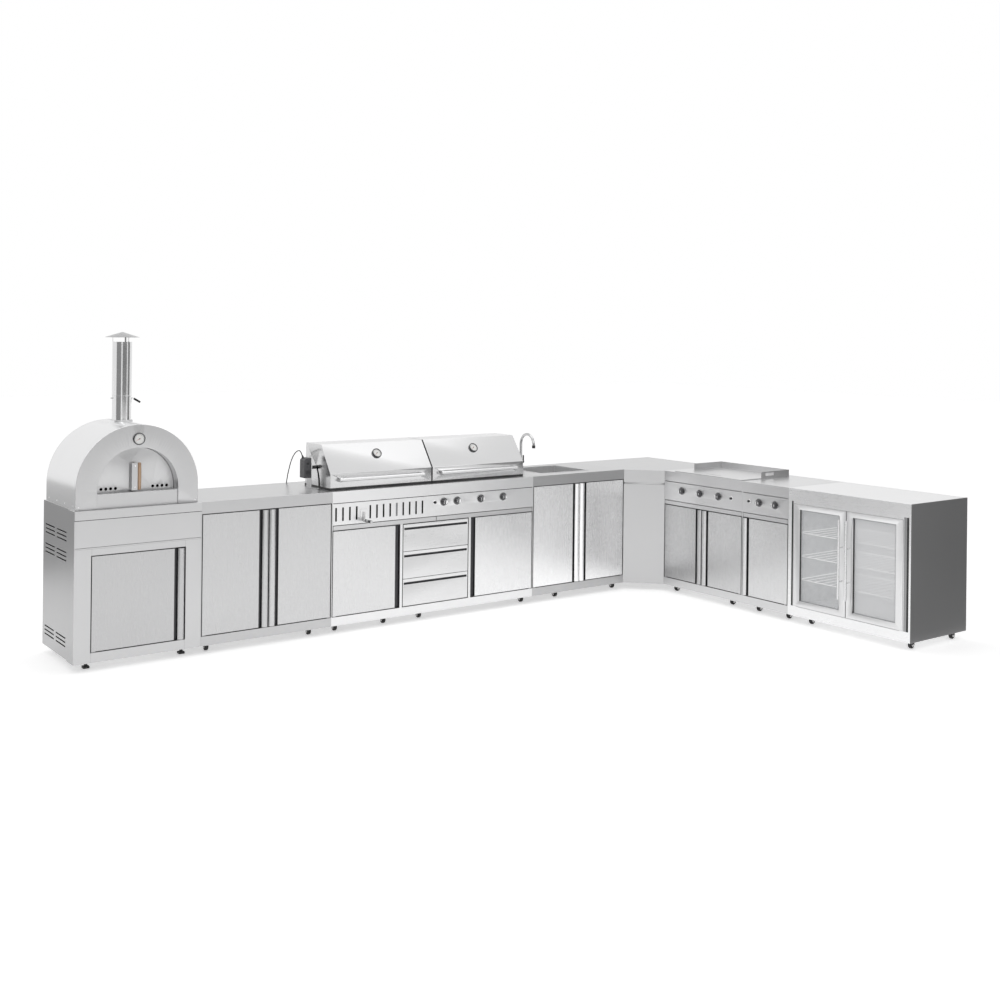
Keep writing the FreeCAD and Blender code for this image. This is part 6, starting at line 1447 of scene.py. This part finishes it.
# Painted shadow: thin black strips on the carcass face round each opening.
form = bmesh.new()
for first, last in OPENINGS:
    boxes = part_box(first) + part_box(last)
    low = Vector([min(corner[i] for corner in boxes) for i in range(3)])
    high = Vector([max(corner[i] for corner in boxes) for i in range(3)])
    run, depth, front = (0, 1, LONG_FRONT) if low.y > WING_SPLIT else (1, 0, SHORT_FRONT)
    a, b = low[run] - GAP, high[run] + GAP
    c, d = low.z - GAP, high.z + GAP
    for run_low, run_high, z_low, z_high in (
        (a - STRIP, a, c - STRIP, d + STRIP), (b, b + STRIP, c - STRIP, d + STRIP), (a, b, c - STRIP, c),
        (a, b, d, d + STRIP),
    ):
        near, far = [0, 0, z_low], [0, 0, z_high]
        near[run], far[run] = run_low, run_high
        near[depth], far[depth] = front - STRIP_PROUD, front + SUNK
        slab(form, near, far)
made_piece("door_shadow_gaps", form, "kitchen", [black_rubber])
print("openings with a dark line", len(OPENINGS))

# %% [markdown]
# ## Floor, world and lamps
# Steel shows what stands round it. The world is white where the camera or a mirror ray looks, and softer as a
# light. Big lamps above give the long highlights. Five plain boards and a card on the floor, seen only by
# reflections, stand in for the darker sides of a studio: the steel that faces them goes grey, as it does in the
# photograph.

# %% Floor


def looked_at(tree):
    """1 for rays that show a surface: from the camera, off a mirror or through glass."""
    paths = add_node(tree, "ShaderNodeLightPath")
    shown = paths.outputs["Is Camera Ray"]
    for kind in ("Is Glossy Ray", "Is Transmission Ray"):
        shown = maths(tree, "MAXIMUM", shown, paths.outputs[kind])
    return shown


def flat_sheet(name, corners, material):
    """One flat sheet, not yet part of the stage."""
    form = bmesh.new()
    form.faces.new([form.verts.new(corner) for corner in corners])
    mesh = bpy.data.meshes.new(name)
    form.to_mesh(mesh)
    form.free()
    mesh.materials.append(material)
    holder = bpy.data.objects.new(name, mesh)
    scene.collection.objects.link(holder)
    return holder


FLOOR_HALF, FLOOR_DOWN = 30.0, -0.0004
floor_material, tree, shader = shader_tree("studio_floor")
feed(tree, shader, {"Base Color": (0.86, 0.86, 0.86, 1), "Roughness": 0.6, "Specular IOR Level": 0.2})
glow = add_node(tree, "ShaderNodeEmission", Color=(1, 1, 1, 1), Strength=0.45)
lit = add_node(tree, "ShaderNodeAddShader", _0=shader.outputs[0], _1=glow.outputs[0])
choice = add_node(tree, "ShaderNodeMixShader", _0=looked_at(tree), _1=shader.outputs[0], _2=lit.outputs[0])
feed(tree, tree.nodes["Material Output"], {"Surface": choice.outputs[0]})
corners = [
    (FLOOR_HALF * x, FLOOR_HALF * y, FLOOR_DOWN) for x, y in ((-1, -1), (1, -1), (1, 1), (-1, 1))
]
floor = flat_sheet("studio_floor", corners, floor_material)
print("floor", 2 * FLOOR_HALF, "m")

# %% World
world = bpy.data.worlds.new("studio")
scene.world = world
world.use_nodes = True
tree = world.node_tree
strength = ramp(tree, looked_at(tree), 0.0, 1.0, 0.62, 1.0)
feed(tree, tree.nodes["Background"], {"Color": (1, 1, 1, 1), "Strength": strength})
print("world set")

# %% Lamps and boards


def lamp(name, place, aim, width, height, watts):
    """A soft rectangular lamp that looks at a point."""
    light = bpy.data.lights.new(name, "AREA")
    light.shape = "RECTANGLE"
    light.size = width
    light.size_y = height
    light.energy = watts
    holder = bpy.data.objects.new(name, light)
    scene.collection.objects.link(holder)
    way = (Vector(aim) - Vector(place)).normalized()
    holder.matrix_world = Matrix.Translation(place) @ way.to_track_quat("-Z", "Y").to_matrix().to_4x4()


def board(name, centre, facing, half_width, low, high, tone):
    """A plain upright board that only reflections see."""
    facing = Vector(facing).normalized()
    along = Vector((facing.y, -facing.x, 0)).normalized()
    corners = []
    for side, level in ((-1, low), (1, low), (1, high), (-1, high)):
        place = Vector((centre[0], centre[1], 0)) + along * half_width * side
        corners.append((place.x, place.y, level))
    card(name, corners, tone)


def card(name, corners, tone):
    """A flat sheet of a plain tone that only reflections see."""
    material, tree, shader = shader_tree(name)
    glow = add_node(tree, "ShaderNodeEmission", Color=(tone, tone, tone, 1), Strength=1.0)
    feed(tree, tree.nodes["Material Output"], {"Surface": glow.outputs[0]})
    holder = flat_sheet(name, corners, material)
    holder.visible_camera = False
    holder.visible_diffuse = False
    holder.visible_shadow = False
    holder.visible_transmission = False


lamp("key_above_left", (-4.5, -4.0, 5.0), (0, 0.6, 0.5), 4.0, 3.0, 60)
lamp("fill_above_right", (4.5, -5.0, 4.5), (0.8, 0.4, 0.5), 4.0, 3.0, 25)
lamp("top_soft", (0.4, 1.0, 5.2), (0.4, 0.9, 0.5), 6.0, 3.5, 60)
board("dark_right_of_end", (3.9, -2.6), (-0.834, 0.552, 0), 1.0, 0.0, 2.2, 0.31)
board("grey_back_left", (-3.9, 3.6), (0.35, -0.94, 0), 1.3, 0.0, 0.8, 0.42)
board("dark_left", (-4.6, -1.2), (1, 0, 0), 2.2, 0.0, 2.2, 0.30)
board("dark_far_right", (5.2, -2.2), (-1, 0, 0), 2.2, 0.0, 2.4, 0.20)
board("dark_for_the_flue", (-0.9, -4.6), (-0.20, 0.98, 0), 2.9, 1.05, 2.3, 0.26)
card("dark_floor_by_end", [(2.0, -3.4, 0.001), (4.4, -3.4, 0.001), (4.4, -1.60, 0.001), (2.0, -1.60, 0.001)], 0.36)
print("lamps and boards placed")

# %% View transform
scene.view_settings.view_transform = "Standard"
